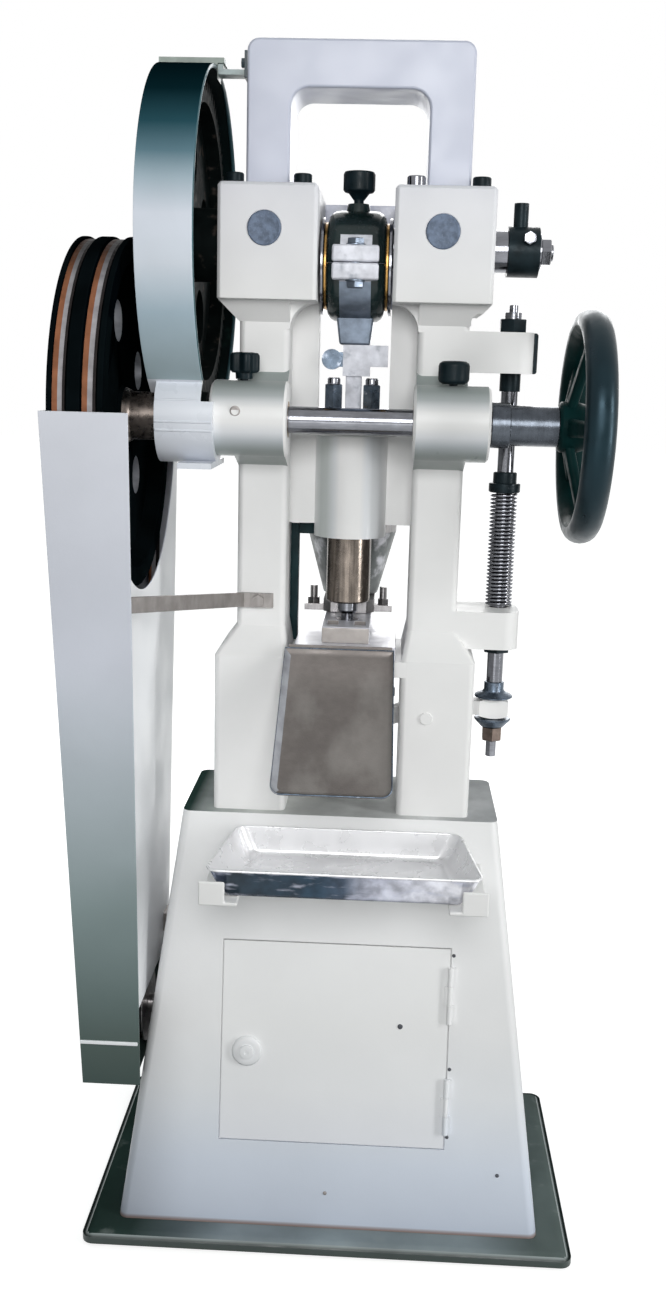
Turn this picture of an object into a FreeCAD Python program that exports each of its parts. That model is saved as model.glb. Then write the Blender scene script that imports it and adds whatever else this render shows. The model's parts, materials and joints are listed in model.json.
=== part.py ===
import FreeCAD, Part
import math
import os

# Single-punch eccentric tablet press, in millimetres.
# X runs to the right, -Y to the front, Z up; the origin is the middle of the base's underside.
# A motor in the pedestal drives the flywheel by two V-belts. The drive shaft's pinion turns the
# bull gear on the crankshaft, whose eccentric moves the ram. At rest the ram is at its lowest point.

Vec = FreeCAD.Vector
UNIT = {"X": Vec(1, 0, 0), "Y": Vec(0, 1, 0), "Z": Vec(0, 0, 1)}

# ---------------------------------------------------------------- driving dimensions
RUNNING = 0.05            # radial clearance of a running shaft
SLIDING = 0.5             # clearance beside a sliding tongue or lever

BASE_X, BASE_Y, BASE_H = 318.0, 200.0, 18.0      # half length, half depth, height
BASE_CORNER = 12.0
TOTAL_H = 1500.0

PED_FOOT = (276.0, 163.0)     # pedestal half sizes in X and Y at the base
PED_HEAD = (203.0, 89.0)      # and at its top
PED_TOP = 563.0
PED_WALL = 4.0
PED_PLATE = 6.0
SHELF_Z = 196.0

SHAFT_Z = 1270.0              # crankshaft height
SHAFT_R = 25.0
THROW = 22.0                  # eccentric offset, half the ram stroke
ECCENTRIC_R = 45.0
BIG_END_Z = SHAFT_Z - THROW

MODULE = 5.0                  # gear module
BULL_TEETH, PINION_TEETH = 74, 16
BACKLASH = 0.37               # taken off each tooth's thickness
PRESSURE_ANGLE = math.radians(20)
GEAR_X = (-221.0, -187.0)
CENTRES = MODULE * (BULL_TEETH + PINION_TEETH) / 2
DRIVE_Y = -88.0
DRIVE_Z = SHAFT_Z - math.sqrt(CENTRES ** 2 - DRIVE_Y ** 2)
DRIVE = (DRIVE_Y, DRIVE_Z)
DRIVE_R = 16.0
CRANK = (0.0, SHAFT_Z)
BIG_END = (0.0, BIG_END_Z)

BLOCK_X = (45.0, 164.0)       # bearing blocks, mirrored left and right
BLOCK_Y = (-83.0, 83.0)
BLOCK_Z = (1203.0, 1336.0)
LEG_X = (72.0, 165.0)
LEG_Y = (-75.0, 75.0)
LEG_TOP = 766.0
UPRIGHT_X = (78.0, 140.0)
UPRIGHT_Y = (-50.0, 50.0)
SHOULDER_Z = 801.0
BOSS_R = 45.0
BOSS_X = (75.0, 166.0)
BUSH_R = 22.0                 # outside of the drive shaft bushes
CRANK_BUSH_R = 32.0

RAM_R = 28.5
RAM_Z = (829.0, 1068.0)
FORK_Z = 994.0
TONGUE = 10.0                 # half width of the connecting rod's tongue
BARREL_R = 46.0
BARREL_Z = (915.0, 1045.0)
BARREL_FLANGE_R = 58.0
PANEL_Y = (-6.0, 25.0)         # thin walls between the uprights
BARREL_TOP = 1055.0
RAM_BUSH_R = 33.0
RAM_BUSH_Z = (915.0, 1036.0)

TABLE_TOP = 784.0
BLOCK_TOP = 805.0
DIE_R, DIE_BORE = 15.0, 8.05
PUNCH_R = 8.0

ROD_X = 196.0                 # lift rod, in the middle plane of the column
ROD_R, ROD_FOOT_R = 10.5, 6.8
ROD_BUSH_R = 13.0
LUG_X = (130.0, 220.0)
LUG_Y = (-50.0, 28.0)
LOWER_LUG = (780.0, 828.0)
UPPER_LUG = (1124.0, 1173.0)
PIVOT = (106.0, 693.0)        # lift lever's pivot, X and Z
PIVOT_R = 8.0
FORK_AT = (0.0, 660.0)
EYE_AT = (ROD_X, 693.0)
LEVER_HALF = 13.2             # half height of the lever's ends
CROWN_R = 52.0

FLYWHEEL_R = 206.0
FLYWHEEL_X = (-312.0, -251.0)
BELT_X = (-290.5, -264.5)     # the two belts' middle planes
BELT_TOP, BELT_BOTTOM = 203.0, 194.0      # belt radii on the flywheel
BELT_HALF_TOP, BELT_HALF_BOTTOM = 6.5, 3.7
BELT_DEPTH = BELT_TOP - BELT_BOTTOM
MOTOR = (-50.0, 272.0)        # motor axis, Y and Z
PULLEY_R = 51.0
PULLEY_BELT = 50.0            # belt's outer radius on the pulley
HANDWHEEL_R = 138.0

GUARD_R, GUARD_WALL = 206.6, 3.0
GUARD_X = (-239.0, -174.5)
PINION_GUARD_X = (-229.0, -160.0)
PINION_GUARD_R = 54.0
GUARD_SEAM = 1107.0
COVER_SEAM = 277.0            # belt guard's lower seam

TRAY_X = 12.0                 # tray's middle
DOOR_X = (-144.0, 149.0)
DOOR_W = (116.0, 382.0)       # along the sloping front
DOOR_GAP = 1.5
HINGE_X, HINGE_OUT = 150.0, -3.4
SLOPE = math.degrees(math.atan2(PED_FOOT[1] - PED_HEAD[1], PED_TOP - BASE_H))


# ---------------------------------------------------------------- building blocks
def place(axis, along, centre):
    """Point at a distance along an axis, with the two other coordinates in centre."""
    if axis == "X":
        return Vec(along, centre[0], centre[1])
    if axis == "Y":
        return Vec(centre[0], along, centre[1])
    return Vec(centre[0], centre[1], along)


def outward(solid):
    """The solid with its faces pointing outwards."""
    if solid.Volume < 0:
        solid.reverse()
    return solid


def box(x, y, z):
    """Box between the ends of each pair."""
    return Part.makeBox(x[1] - x[0], y[1] - y[0], z[1] - z[0], Vec(x[0], y[0], z[0]))


def rod(axis, radius, span, centre=(0, 0)):
    """Cylinder over a span of the axis."""
    return Part.makeCylinder(radius, span[1] - span[0], place(axis, span[0], centre), UNIT[axis])


def tube(axis, outer, inner, span, centre=(0, 0)):
    """Ring with a bore, over a span of the axis."""
    return rod(axis, outer, span, centre).cut(rod(axis, inner, span, centre))


def taper(axis, radii, span, centre=(0, 0)):
    """Cone between two radii over a span of the axis."""
    start = place(axis, span[0], centre)
    return Part.makeCone(radii[0], radii[1], span[1] - span[0], start, UNIT[axis])


def turned(axis, profile, centre=(0, 0)):
    """Body of revolution of (radius, place along the axis) points."""
    start = place(axis, 0, centre)
    across = UNIT["X"] if axis == "Z" else UNIT["Z"]
    corners = [start + UNIT[axis] * along + across * radius for radius, along in profile]
    face = Part.Face(Part.makePolygon(corners + corners[:1]))
    return outward(face.revolve(start, UNIT[axis], 360))


def slab(outline, axis, span):
    """Prism of an outline given in the two other coordinates, over a span of the axis."""
    corners = [place(axis, span[0], point) for point in outline]
    face = Part.Face(Part.makePolygon(corners + corners[:1]))
    return outward(face.extrude(UNIT[axis] * (span[1] - span[0])))


def hexagon(axis, radius, span, centre=(0, 0)):
    """Hexagonal bar, radius to its corners."""
    turns = [math.radians(60 * i + 30) for i in range(6)]
    outline = [(centre[0] + radius * math.cos(t), centre[1] + radius * math.sin(t)) for t in turns]
    return slab(outline, axis, span)


def loft(*wires):
    """Straight-sided solid through wires."""
    return outward(Part.makeLoft(list(wires), True, True))


def tapered(low, high, z, radius):
    """Upright block between two level rectangles, each an (x, y) pair of spans, with round corners."""
    (x0, y0), (x1, y1) = low, high
    wide = slab([(x0[0], z[0]), (x0[1], z[0]), (x1[1], z[1]), (x1[0], z[1])], "Y", (-500, 500))
    deep = slab([(y0[0], z[0]), (y0[1], z[0]), (y1[1], z[1]), (y1[0], z[1])], "X", (-500, 500))
    block = wide.common(deep)
    return filleted(block, radius, lambda b: b.ZLength > z[1] - z[0] - 0.01) if radius else block


def pillar(x, y, z, radius):
    """Upright block with round corners."""
    return tapered((x, y), (x, y), z, radius)


def level_quad(z, back, front):
    """Level wire with two parallel sides, each a (y, left, right) triple."""
    points = [Vec(back[1], back[0], z), Vec(back[2], back[0], z),
              Vec(front[2], front[0], z), Vec(front[1], front[0], z)]
    return Part.makePolygon(points + points[:1])


def joined(*solids):
    """One solid from several."""
    return solids[0].multiFuse(list(solids[1:])).removeSplitter()


def carved(solid, *tools):
    """The solid less its tools."""
    return solid.cut(list(tools))


def mirrored(solid):
    """The same solid on the other side of the middle plane."""
    return solid.mirror(Vec(0, 0, 0), UNIT["X"])


def both_sides(solid):
    """The solid and its mirror image."""
    return [solid, mirrored(solid)]


def moved(solid, x=0, y=0, z=0):
    """The solid at another place."""
    copy = solid.copy()
    copy.translate(Vec(x, y, z))
    return copy


def spread(tool, count, axis, centre, first=0.0):
    """Copies of a solid, evenly spaced round an axis."""
    copies = []
    for i in range(count):
        copy = tool.copy()
        copy.rotate(place(axis, 0, centre), UNIT[axis], first + 360.0 * i / count)
        copies.append(copy)
    return copies


def chamfered(solid, size, wanted):
    """The solid with a chamfer on the edges that a test picks."""
    edges = [edge for edge in solid.Edges if wanted(edge.BoundBox)]
    return solid.makeChamfer(size, edges)


def filleted(solid, radius, wanted):
    """The solid with a fillet on the edges that a test picks."""
    edges = [edge for edge in solid.Edges if wanted(edge.BoundBox)]
    return solid.makeFillet(radius, edges)


def at_level(z):
    """Test for edges that lie at one height."""
    return lambda b: abs(b.ZMin - z) < 0.01 and abs(b.ZMax - z) < 0.01


def upright_edge(b):
    """Test for long upright edges."""
    return b.XLength < 0.01 and b.YLength < 0.01 and b.ZLength > 5


def leaned(solid):
    """From the flat door frame, where Z runs up the front, to the pedestal's sloping front."""
    copy = solid.copy()
    copy.rotate(Vec(0, 0, 0), UNIT["X"], -SLOPE)
    copy.translate(Vec(0, -PED_FOOT[1], BASE_H))
    return copy


def leaned_back(solid):
    """From the flat frame to the pedestal's sloping back."""
    return leaned(solid).mirror(Vec(0, 0, 0), UNIT["Y"])


# ---------------------------------------------------------------- base and pedestal
def base_plate():
    """Heavy plate with a bevelled rim."""
    plate = pillar((-BASE_X, BASE_X), (-BASE_Y, BASE_Y), (0, BASE_H), BASE_CORNER)
    return chamfered(plate, 4, at_level(BASE_H))


def pedestal_block(inset, z, radius=0):
    """The pedestal's tapered form between two heights, drawn in on all four sides."""
    spans = []
    for height in z:
        up = (height - BASE_H) / (PED_TOP - BASE_H)
        half_x = PED_FOOT[0] + (PED_HEAD[0] - PED_FOOT[0]) * up - inset
        half_y = PED_FOOT[1] + (PED_HEAD[1] - PED_FOOT[1]) * up - inset
        spans.append(((-half_x, half_x), (-half_y, half_y)))
    return tapered(*spans, z, radius)


def pedestal():
    """Folded sheet cabin with a thick top, a motor shelf and the door's opening."""
    cabin = pedestal_block(PED_WALL, (BASE_H, PED_TOP - PED_PLATE))
    skin = pedestal_block(0, (BASE_H, PED_TOP), 12).cut(cabin)
    shelf = pedestal_block(PED_WALL, (SHELF_Z - PED_PLATE, SHELF_Z))
    shelf = shelf.common(box((-BASE_X, 60), (-BASE_Y, BASE_Y), (0, SHELF_Z)))
    opening = leaned(box((DOOR_X[0] - DOOR_GAP, DOOR_X[1] + DOOR_GAP), (-20, 20),
                         (DOOR_W[0] - DOOR_GAP, DOOR_W[1] + DOOR_GAP)))
    shaft_hole = rod("X", 22, (-260, -225), MOTOR)
    gland_hole = leaned_back(rod("Y", 10, (-10, 10), (180, 103)))
    return carved(joined(skin, shelf), opening, shaft_hole, gland_hole)


def hinge_parts(w):
    """One hinge in the flat frame: the fixed part with its pin, and the door's knuckle."""
    third, gap = 24.6, 0.4
    radius, pin_radius, leaf = 3.2, 1.6, 7
    where = (HINGE_X, HINGE_OUT)
    fixed = []
    for start in (w, w + 2 * (third + gap)):
        knuckle = rod("Z", radius, (start, start + third), where)
        web = box((HINGE_X, HINGE_X + leaf), (HINGE_OUT, 0), (start, start + third))
        fixed += [knuckle, web]
    pin = rod("Z", pin_radius, (w, w + 3 * third + 2 * gap), where)
    middle = (w + third + gap, w + 2 * third + gap)
    knuckle = joined(rod("Z", radius, middle, where),
                     box((HINGE_X - leaf, HINGE_X), (HINGE_OUT, 0), middle))
    bore = rod("Z", pin_radius + RUNNING, middle, where)
    return joined(*fixed, pin), knuckle.cut(bore)


HINGE_W = (136.0, 284.0)


def door_hinges():
    """Fixed knuckles and pins of the two hinges."""
    return Part.makeCompound([leaned(hinge_parts(w)[0]) for w in HINGE_W])


LATCH = (-111.0, 236.0)       # door knob, X and place up the slope


def door():
    """Sheet door with a folded rim and its hinge knuckles."""
    sheet, rim = 2.5, 8.0
    panel = box(DOOR_X, (0, rim), DOOR_W)
    hollow = box((DOOR_X[0] + sheet, DOOR_X[1] - sheet), (sheet, rim),
                 (DOOR_W[0] + sheet, DOOR_W[1] - sheet))
    stem_hole = rod("Y", 6 + RUNNING, (-1, rim), LATCH)
    panel = carved(panel, hollow, stem_hole)
    return leaned(joined(panel, *[hinge_parts(w)[1] for w in HINGE_W]))


def door_knob():
    """Round lock knob, its stem through the door and the latch bar behind."""
    face = turned("Y", [(0, -9), (9, -9), (9, -5.5), (17, -5.5), (19.5, -3.5), (19.5, -0.3), (0, -0.3)],
                  LATCH)
    stem = rod("Y", 6, (-0.3, 8), LATCH)
    bar = box((LATCH[0] - 7, LATCH[0] + 7), (8, 11), (LATCH[1] - 40, LATCH[1] + 7))
    return leaned(joined(face, stem, bar))


def cable_gland():
    """Flanged gland in the pedestal's back, with a through bore."""
    centre = (180, 103)
    body = joined(rod("Y", 10, (-4, 8), centre), hexagon("Y", 15, (-12, 0), centre))
    return leaned_back(body.cut(rod("Y", 4.5, (-30, 10), centre)))


def motor():
    """Foot-mounted motor with cooling ribs, an end bell at each end and a terminal box."""
    ribs, rib_tip, rib_root = 18, 60, 53
    outline = []
    for i in range(ribs):
        for step, radius in ((0.0, rib_root), (0.62, rib_root), (0.7, rib_tip), (0.92, rib_tip)):
            turn = 2 * math.pi * (i + step) / ribs
            outline.append((MOTOR[0] + radius * math.cos(turn), MOTOR[1] + radius * math.sin(turn)))
    drum = slab(outline, "X", (-202, 0))
    bells = [rod("X", 61, (-217, -200), MOTOR), rod("X", 61, (-5, 20), MOTOR)]
    foot = box((-165, -45), (MOTOR[0] - 56, MOTOR[0] + 56), (SHELF_Z, SHELF_Z + 8))
    legs = [box((-160, -50), (MOTOR[0] + side - 6, MOTOR[0] + side + 6), (SHELF_Z, MOTOR[1] - 20))
            for side in (-38, 38)]
    terminals = box((-135, -75), (MOTOR[0] - 28, MOTOR[0] + 28), (MOTOR[1] + 40, MOTOR[1] + 84))
    bore = rod("X", 11 + RUNNING, (-226, -165), MOTOR)
    return joined(drum, *bells, foot, *legs, terminals).cut(bore)


# ---------------------------------------------------------------- column
def column_half():
    """Right half of the column: leg, shoulder, upright, brackets under the block and thin wall."""
    leg = pillar(LEG_X, LEG_Y, (PED_TOP, LEG_TOP), 8)
    shoulder = tapered((LEG_X, LEG_Y), (UPRIGHT_X, UPRIGHT_Y), (LEG_TOP, SHOULDER_Z), 8)
    upright = pillar(UPRIGHT_X, UPRIGHT_Y, (SHOULDER_Z, BLOCK_Z[0]), 8)
    flare = tapered((UPRIGHT_X, UPRIGHT_Y), ((UPRIGHT_X[0], BLOCK_X[1]), (-70, 70)), (1178, BLOCK_Z[0]), 0)
    cove_z = BLOCK_Z[0] - (UPRIGHT_X[0] - BLOCK_X[0])
    cove = box((BLOCK_X[0], UPRIGHT_X[0] + 9), UPRIGHT_Y, (cove_z, BLOCK_Z[0]))
    cove = cove.cut(rod("Y", BLOCK_Z[0] - cove_z, (-80, 80), (BLOCK_X[0], cove_z)))
    panel = box((BLOCK_X[0], UPRIGHT_X[0] + 9), PANEL_Y, (BARREL_Z[1], BLOCK_Z[0]))
    return [leg, shoulder, upright, flare, cove, panel]


def shaft_boss():
    """Right boss of the drive shaft, with its saddle back to the upright."""
    barrel = rod("X", BOSS_R, BOSS_X, DRIVE)
    outer = BOSS_X[1] - 1
    barrel = chamfered(barrel, 3, lambda b: b.XMin > outer or b.XMax < BOSS_X[0] + 1)
    reach = (DRIVE_Y, UPRIGHT_Y[0] + 5)
    outline = [(reach[0], DRIVE_Z - BOSS_R), (reach[1], DRIVE_Z - BOSS_R - 14),
               (reach[1], DRIVE_Z + BOSS_R + 14), (-66, DRIVE_Z + BOSS_R), (reach[0], DRIVE_Z + BOSS_R)]
    return joined(barrel, slab(outline, "X", UPRIGHT_X))


def lug(z):
    """Lug on the right that carries the lift rod."""
    block = box(LUG_X, LUG_Y, z)
    return filleted(block, 20, lambda b: upright_edge(b) and b.XMin > LUG_X[1] - 1)


KNOB_X = {"star": -129.0, "grease": 121.5}


def column_frame():
    """The press's one large casting, machined for the shafts, the ram and the lift rod."""
    halves = column_half() + [mirrored(part) for part in column_half()]
    bosses = both_sides(shaft_boss())
    bridge = box((-UPRIGHT_X[0], UPRIGHT_X[0]), LEG_Y, (745, 765))
    web = box((-UPRIGHT_X[0] - 9, UPRIGHT_X[0] + 9), PANEL_Y, (930, BARREL_Z[1]))
    barrel = rod("Z", BARREL_R, BARREL_Z)
    flange = rod("Z", BARREL_FLANGE_R, (BARREL_Z[1] - 2, BARREL_TOP))
    casting = joined(*halves, *bosses, bridge, web, barrel, flange, lug(LOWER_LUG), lug(UPPER_LUG))
    notch = rod("Y", 10, (-80, 80), (151, UPPER_LUG[1] + 10))
    bores = [rod("Z", RAM_BUSH_R, (BARREL_Z[0] - 1, BARREL_TOP + 1)),
             rod("Z", 24, (740, 770)),
             rod("X", BUSH_R, (-170, 170), DRIVE),
             rod("Z", ROD_BUSH_R, (770, 840), (ROD_X, 0)),
             rod("Z", ROD_BUSH_R, (1120, 1180), (ROD_X, 0)),
             rod("Y", PIVOT_R, (-80, 80), PIVOT),
             box((60, 170), (-17, 17), (660, 730))]
    bores += [rod("Z", 5 + RUNNING, (1092, 1115), (x, DRIVE_Y)) for x in KNOB_X.values()]
    return carved(casting, notch, *bores)


def ram_bush():
    """Bronze guide of the ram."""
    return tube("Z", RAM_BUSH_R, RAM_R + RUNNING, RAM_BUSH_Z)


def bearing_block():
    """Right-hand block that holds the crankshaft."""
    block = box(BLOCK_X, BLOCK_Y, BLOCK_Z)
    block = chamfered(block, 4, lambda b: max(b.XLength, b.YLength, b.ZLength) > 100 and b.ZMax > 1210)
    return block.cut(rod("X", CRANK_BUSH_R, (BLOCK_X[0] - 1, BLOCK_X[1] + 1), CRANK))


PLUGS = (-108.0, 102.0)
PLUG_Z = 1284.0


def plug_recess(x):
    """Shallow round seat in a block's front."""
    return rod("Y", 20, (BLOCK_Y[0] - 1, BLOCK_Y[0] + 3), (x, PLUG_Z))


def block_plugs():
    """Round plugs in the fronts of the bearing blocks."""
    return Part.makeCompound([rod("Y", 20, (BLOCK_Y[0] - 1, BLOCK_Y[0] + 3), (x, PLUG_Z)) for x in PLUGS])


def block_screws():
    """Heads of the screws that hold the blocks down."""
    spots = [(x, y) for x in (-146, -65, 69, 146) for y in (-58, 58)]
    return Part.makeCompound([hexagon("Z", 11, (BLOCK_Z[1], BLOCK_Z[1] + 12), spot) for spot in spots])


def rear_cover():
    """Bent plate behind the eccentric, between the backs of the bearing blocks."""
    sheet, half, back = 3, 62, 110
    z = (BLOCK_Z[0], BLOCK_Z[1] - 2)
    outer = box((-half, half), (BLOCK_Y[1], back), z)
    return outer.cut(box((sheet - half, half - sheet), (BLOCK_Y[1] - 1, back - sheet), (z[0] - 1, z[1] + 1)))


def shaft_bushes():
    """Bronze bushes of the crankshaft and of the drive shaft."""
    crank = tube("X", CRANK_BUSH_R, SHAFT_R + RUNNING, (BLOCK_X[0], BLOCK_X[1] + 1), CRANK)
    drive = tube("X", BUSH_R, DRIVE_R + RUNNING, (BOSS_X[0], BOSS_X[1] + 1), DRIVE)
    return Part.makeCompound(both_sides(crank) + both_sides(drive))


ARCH_X = (82.0, 134.0)
ARCH_INSIDE = 1446.0


def top_arch():
    """Lifting loop on the two bearing blocks."""
    half_y = 49.0
    outer = box((-ARCH_X[1], ARCH_X[1]), (-half_y, half_y), (BLOCK_Z[1], TOTAL_H))
    inside = box((-ARCH_X[0], ARCH_X[0]), (-half_y - 1, half_y + 1), (BLOCK_Z[1] - 1, ARCH_INSIDE))
    outer = filleted(outer, 14, lambda b: b.YLength > 90 and b.ZMin > TOTAL_H - 1)
    return outer.cut(filleted(inside, 22, lambda b: b.YLength > 90 and b.ZMin > ARCH_INSIDE - 1))


# ---------------------------------------------------------------- guards
def gear_casing():
    """Both halves of the gear casing: a large and a small drum, open towards the column."""
    left, right = GUARD_X
    small_left, small_right = PINION_GUARD_X
    outer = joined(rod("X", GUARD_R, (left, right), CRANK),
                   rod("X", PINION_GUARD_R, (small_left, small_right), DRIVE))
    inner = joined(rod("X", GUARD_R - GUARD_WALL, (left + GUARD_WALL, right + 1), CRANK),
                   rod("X", PINION_GUARD_R - GUARD_WALL, (small_left + GUARD_WALL, small_right - GUARD_WALL),
                       DRIVE))
    opening = rod("X", BOSS_R, (-170, -159), DRIVE)
    hub_hole = rod("X", 32, (left - 1, small_left + GUARD_WALL + 1), DRIVE)
    step = box((right, small_right + 1), (-200, 20), (DRIVE_Z + 20, GUARD_SEAM + 100))
    return carved(outer, inner, opening, hub_hole, step)


def gear_guard():
    """Upper part of the gear casing."""
    return gear_casing().common(box((-260, -150), (-260, 260), (GUARD_SEAM, TOTAL_H)))


def pinion_guard():
    """Lower part of the gear casing, round the pinion."""
    lower = gear_casing().common(box((-260, -150), (-260, 260), (900, GUARD_SEAM)))
    lip = box((-200, -160), (-150, -30), (1005, 1012))
    lip = lip.cut(rod("X", 52, (-210, -150), DRIVE))
    return joined(lower, lip)


def belt_outline(inset, z):
    """Side view of the belt casing between two heights, drawn in at front and back."""
    top_z, bottom_z = 1073.0, 212.0
    front, back = (-307.0, -162.0), (150.0, 52.0)

    def y_at(ends, height):
        return ends[0] + (ends[1] - ends[0]) * (top_z - height) / (top_z - bottom_z)

    return [(y_at(front, z[1]) + inset, z[1]), (y_at(back, z[1]) - inset, z[1]),
            (y_at(back, z[0]) - inset, z[0]), (y_at(front, z[0]) + inset, z[0])]


BELT_GUARD_X = (-321.0, -226.0)
BELT_GUARD_Z = (212.0, 1073.0)
SIDE_PLATE_X = (-249.5, -247.5)
SIDE_PLATE_Z = (318.0, 1050.0)
SHEET = 2.5


def belt_trim():
    """Room that the casing's two bands may fill: their right edges lean outwards to the bottom."""
    left = BELT_GUARD_X[0] - 1
    low, high = BELT_GUARD_Z
    front = slab([(left, high), (-226, high), (-246, low), (left, low)], "Y", (-310, DRIVE_Y))
    back = slab([(left, high), (SIDE_PLATE_X[1], high), (SIDE_PLATE_X[1], 290), (-256, low), (left, low)],
                "Y", (DRIVE_Y, 160))
    return joined(front, back)


def belt_casing(z, floor):
    """Casing of the belts between two heights; floor is its bottom plate's thickness."""
    outer = slab(belt_outline(0, z), "X", BELT_GUARD_X)
    inner = slab(belt_outline(SHEET, (z[0] - 1, z[1] + 1)), "X", (BELT_GUARD_X[0] + SHEET, -200))
    plate = slab(belt_outline(SHEET, (z[0], z[0] + floor)), "X", (BELT_GUARD_X[0], -254)) if floor else None
    shell = outer.cut(inner).common(belt_trim())
    return joined(shell, plate) if floor else shell


def belt_side_plate():
    """Right wall of the belt casing, cut away round the flywheel."""
    plate = slab(belt_outline(0, SIDE_PLATE_Z), "X", SIDE_PLATE_X)
    wheel = rod("X", FLYWHEEL_R + 4, (-260, -240), DRIVE)
    front_top = box((-260, -240), (-320, DRIVE_Y), (DRIVE_Z - 120, 1100))
    return carved(plate, wheel, front_top)


def belt_guard():
    """Tall casing of the belts, open at the top, where the flywheel stands out."""
    return joined(belt_casing((COVER_SEAM, BELT_GUARD_Z[1]), 0), belt_side_plate())


def belt_guard_lower_cover():
    """Closed foot of the belt casing."""
    return belt_casing((BELT_GUARD_Z[0], COVER_SEAM), SHEET)


def strip(points, axis, width, thickness):
    """Flat bar bent along points in the plane across the axis, each point on its lower side."""
    parts = []
    for (a0, b0), (a1, b1) in zip(points, points[1:]):
        length = math.hypot(a1 - a0, b1 - b0)
        across = (-(b1 - b0) / length * thickness, (a1 - a0) / length * thickness)
        outline = [(a0, b0), (a1, b1), (a1 + across[0], b1 + across[1]),
                   (a0 + across[0], b0 + across[1])]
        parts.append(slab(outline, axis, width))
    return joined(*parts)


def belt_guard_stay():
    """Flat bar bolted to the left upright and bent forward to the belt casing's front wall."""
    height, thick = 18, 6
    end = box((-138, -93), (-56, -50), (826, 826 + height))
    bolt = hexagon("Y", 8, (-61, -56), (-112, 826 + height / 2))
    start, finish = Vec(-134, -51, 826), Vec(-240, -262, 852)
    run = finish - start
    bar = Part.makeBox(run.Length + 20, thick, height)
    bar.rotate(Vec(0, 0, 0), UNIT["Y"], -math.degrees(math.asin(run.z / run.Length)))
    bar.rotate(Vec(0, 0, 0), UNIT["Z"], math.degrees(math.atan2(run.y, run.x)))
    bar.translate(start)
    front = slab(belt_outline(SHEET, BELT_GUARD_Z), "X", (-330, -90))
    return joined(end, bolt, bar.common(front))


def guard_stays():
    """Flat bars that hold the two guards to the column, the arch and the pedestal."""
    plate_face = SIDE_PLATE_X[1]
    pad = box((GUARD_X[0] - 5, -165), (-16, 16), (1460, 1484))
    pad = pad.cut(joined(rod("X", GUARD_R, (-260, GUARD_X[1] + 1), CRANK),
                         box((-173, -160), (-20, 20), (1450, 1478))))
    riser = box((-173, -167), (-12, 12), (1466, 1484))
    step = box((-173, -134), (-12, 12), (1466, 1472))
    tab = box((-139, -134), (-12, 12), (1466, 1486))
    top = joined(pad, step, riser, tab)
    low = box((plate_face, -200), (20, 50), (345, 351))
    low_tab = box((plate_face, plate_face + 5), (20, 50), (345, 371))
    low = joined(low, low_tab).cut(pedestal_block(0, (BASE_H, PED_TOP)))
    return Part.makeCompound([belt_guard_stay(), top, low])


def tangent_loop(big, small):
    """Closed wire round the flywheel and the motor pulley, in the plane X = 0."""
    across, up = MOTOR[0] - DRIVE_Y, MOTOR[1] - DRIVE_Z
    distance = math.hypot(across, up)
    along = Vec(0, across / distance, up / distance)
    side = Vec(0, along.z, -along.y)
    lean = math.asin((big - small) / distance)
    flywheel, pulley = Vec(0, DRIVE_Y, DRIVE_Z), Vec(0, *MOTOR)

    def rim(centre, radius, hand):
        return centre + (along * math.sin(lean) + side * math.cos(lean) * hand) * radius

    over = Part.Arc(rim(flywheel, big, 1), flywheel - along * big, rim(flywheel, big, -1))
    under = Part.Arc(rim(pulley, small, -1), pulley + along * small, rim(pulley, small, 1))
    down = Part.makeLine(rim(flywheel, big, -1), rim(pulley, small, -1))
    back = Part.makeLine(rim(pulley, small, 1), rim(flywheel, big, 1))
    return Part.Wire([over.toShape(), down, under.toShape(), back])


def v_belts():
    """Two belts of V section."""
    belts = []
    for x in BELT_X:
        outer = tangent_loop(BELT_TOP, PULLEY_BELT)
        start = outer.Edges[0].Vertexes[0].Point
        inward = (Vec(0, *DRIVE) - start).normalize() * BELT_DEPTH
        corners = [start + Vec(-BELT_HALF_TOP, 0, 0), start + Vec(BELT_HALF_TOP, 0, 0),
                   start + inward + Vec(BELT_HALF_BOTTOM, 0, 0),
                   start + inward + Vec(-BELT_HALF_BOTTOM, 0, 0)]
        section = Part.makePolygon(corners + corners[:1])
        belts.append(moved(outward(outer.makePipeShell([section], True, False)), x))
    return Part.makeCompound(belts)


def belt_groove(x, outside, depth, centre):
    """Ring of V section that cuts one belt groove into a pulley."""
    gap = 0.5
    lean = (BELT_HALF_TOP - BELT_HALF_BOTTOM) / BELT_DEPTH
    half_top = BELT_HALF_TOP + gap + lean * (outside[1] - outside[0] + 1)
    half_bottom = BELT_HALF_BOTTOM + gap - lean * (depth - BELT_DEPTH)
    top, bottom = outside[1] + 1, outside[0] - depth
    return turned("X", [(top, x - half_top), (top, x + half_top),
                        (bottom, x + half_bottom), (bottom, x - half_bottom)], centre)


# ---------------------------------------------------------------- shafts, gears and wheels
def gear_wheel(teeth, axis_at, first):
    """Spur gear with involute flanks; first is the angle of one tooth's middle, in radians."""
    pitch = MODULE * teeth / 2
    base = pitch * math.cos(PRESSURE_ANGLE)
    tip, root = pitch + MODULE, pitch - 1.25 * MODULE
    half_tooth = (math.pi * MODULE / 2 - BACKLASH) / (2 * pitch)

    def involute(angle):
        return math.tan(angle) - angle

    start = max(base, root)
    flank = []
    if root < base:
        flank.append((root, half_tooth + involute(PRESSURE_ANGLE)))
    for share in (0, 0.45, 1):
        radius = start + (tip - start) * share
        flank.append((radius, half_tooth + involute(PRESSURE_ANGLE) - involute(math.acos(base / radius))))
    outline = []
    for i in range(teeth):
        middle = first + 2 * math.pi * i / teeth
        side = [(r, middle - a) for r, a in flank] + [(r, middle + a) for r, a in reversed(flank)]
        outline += [(axis_at[0] + r * math.cos(a), axis_at[1] + r * math.sin(a)) for r, a in side]
    return slab(outline, "X", GEAR_X)


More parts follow.
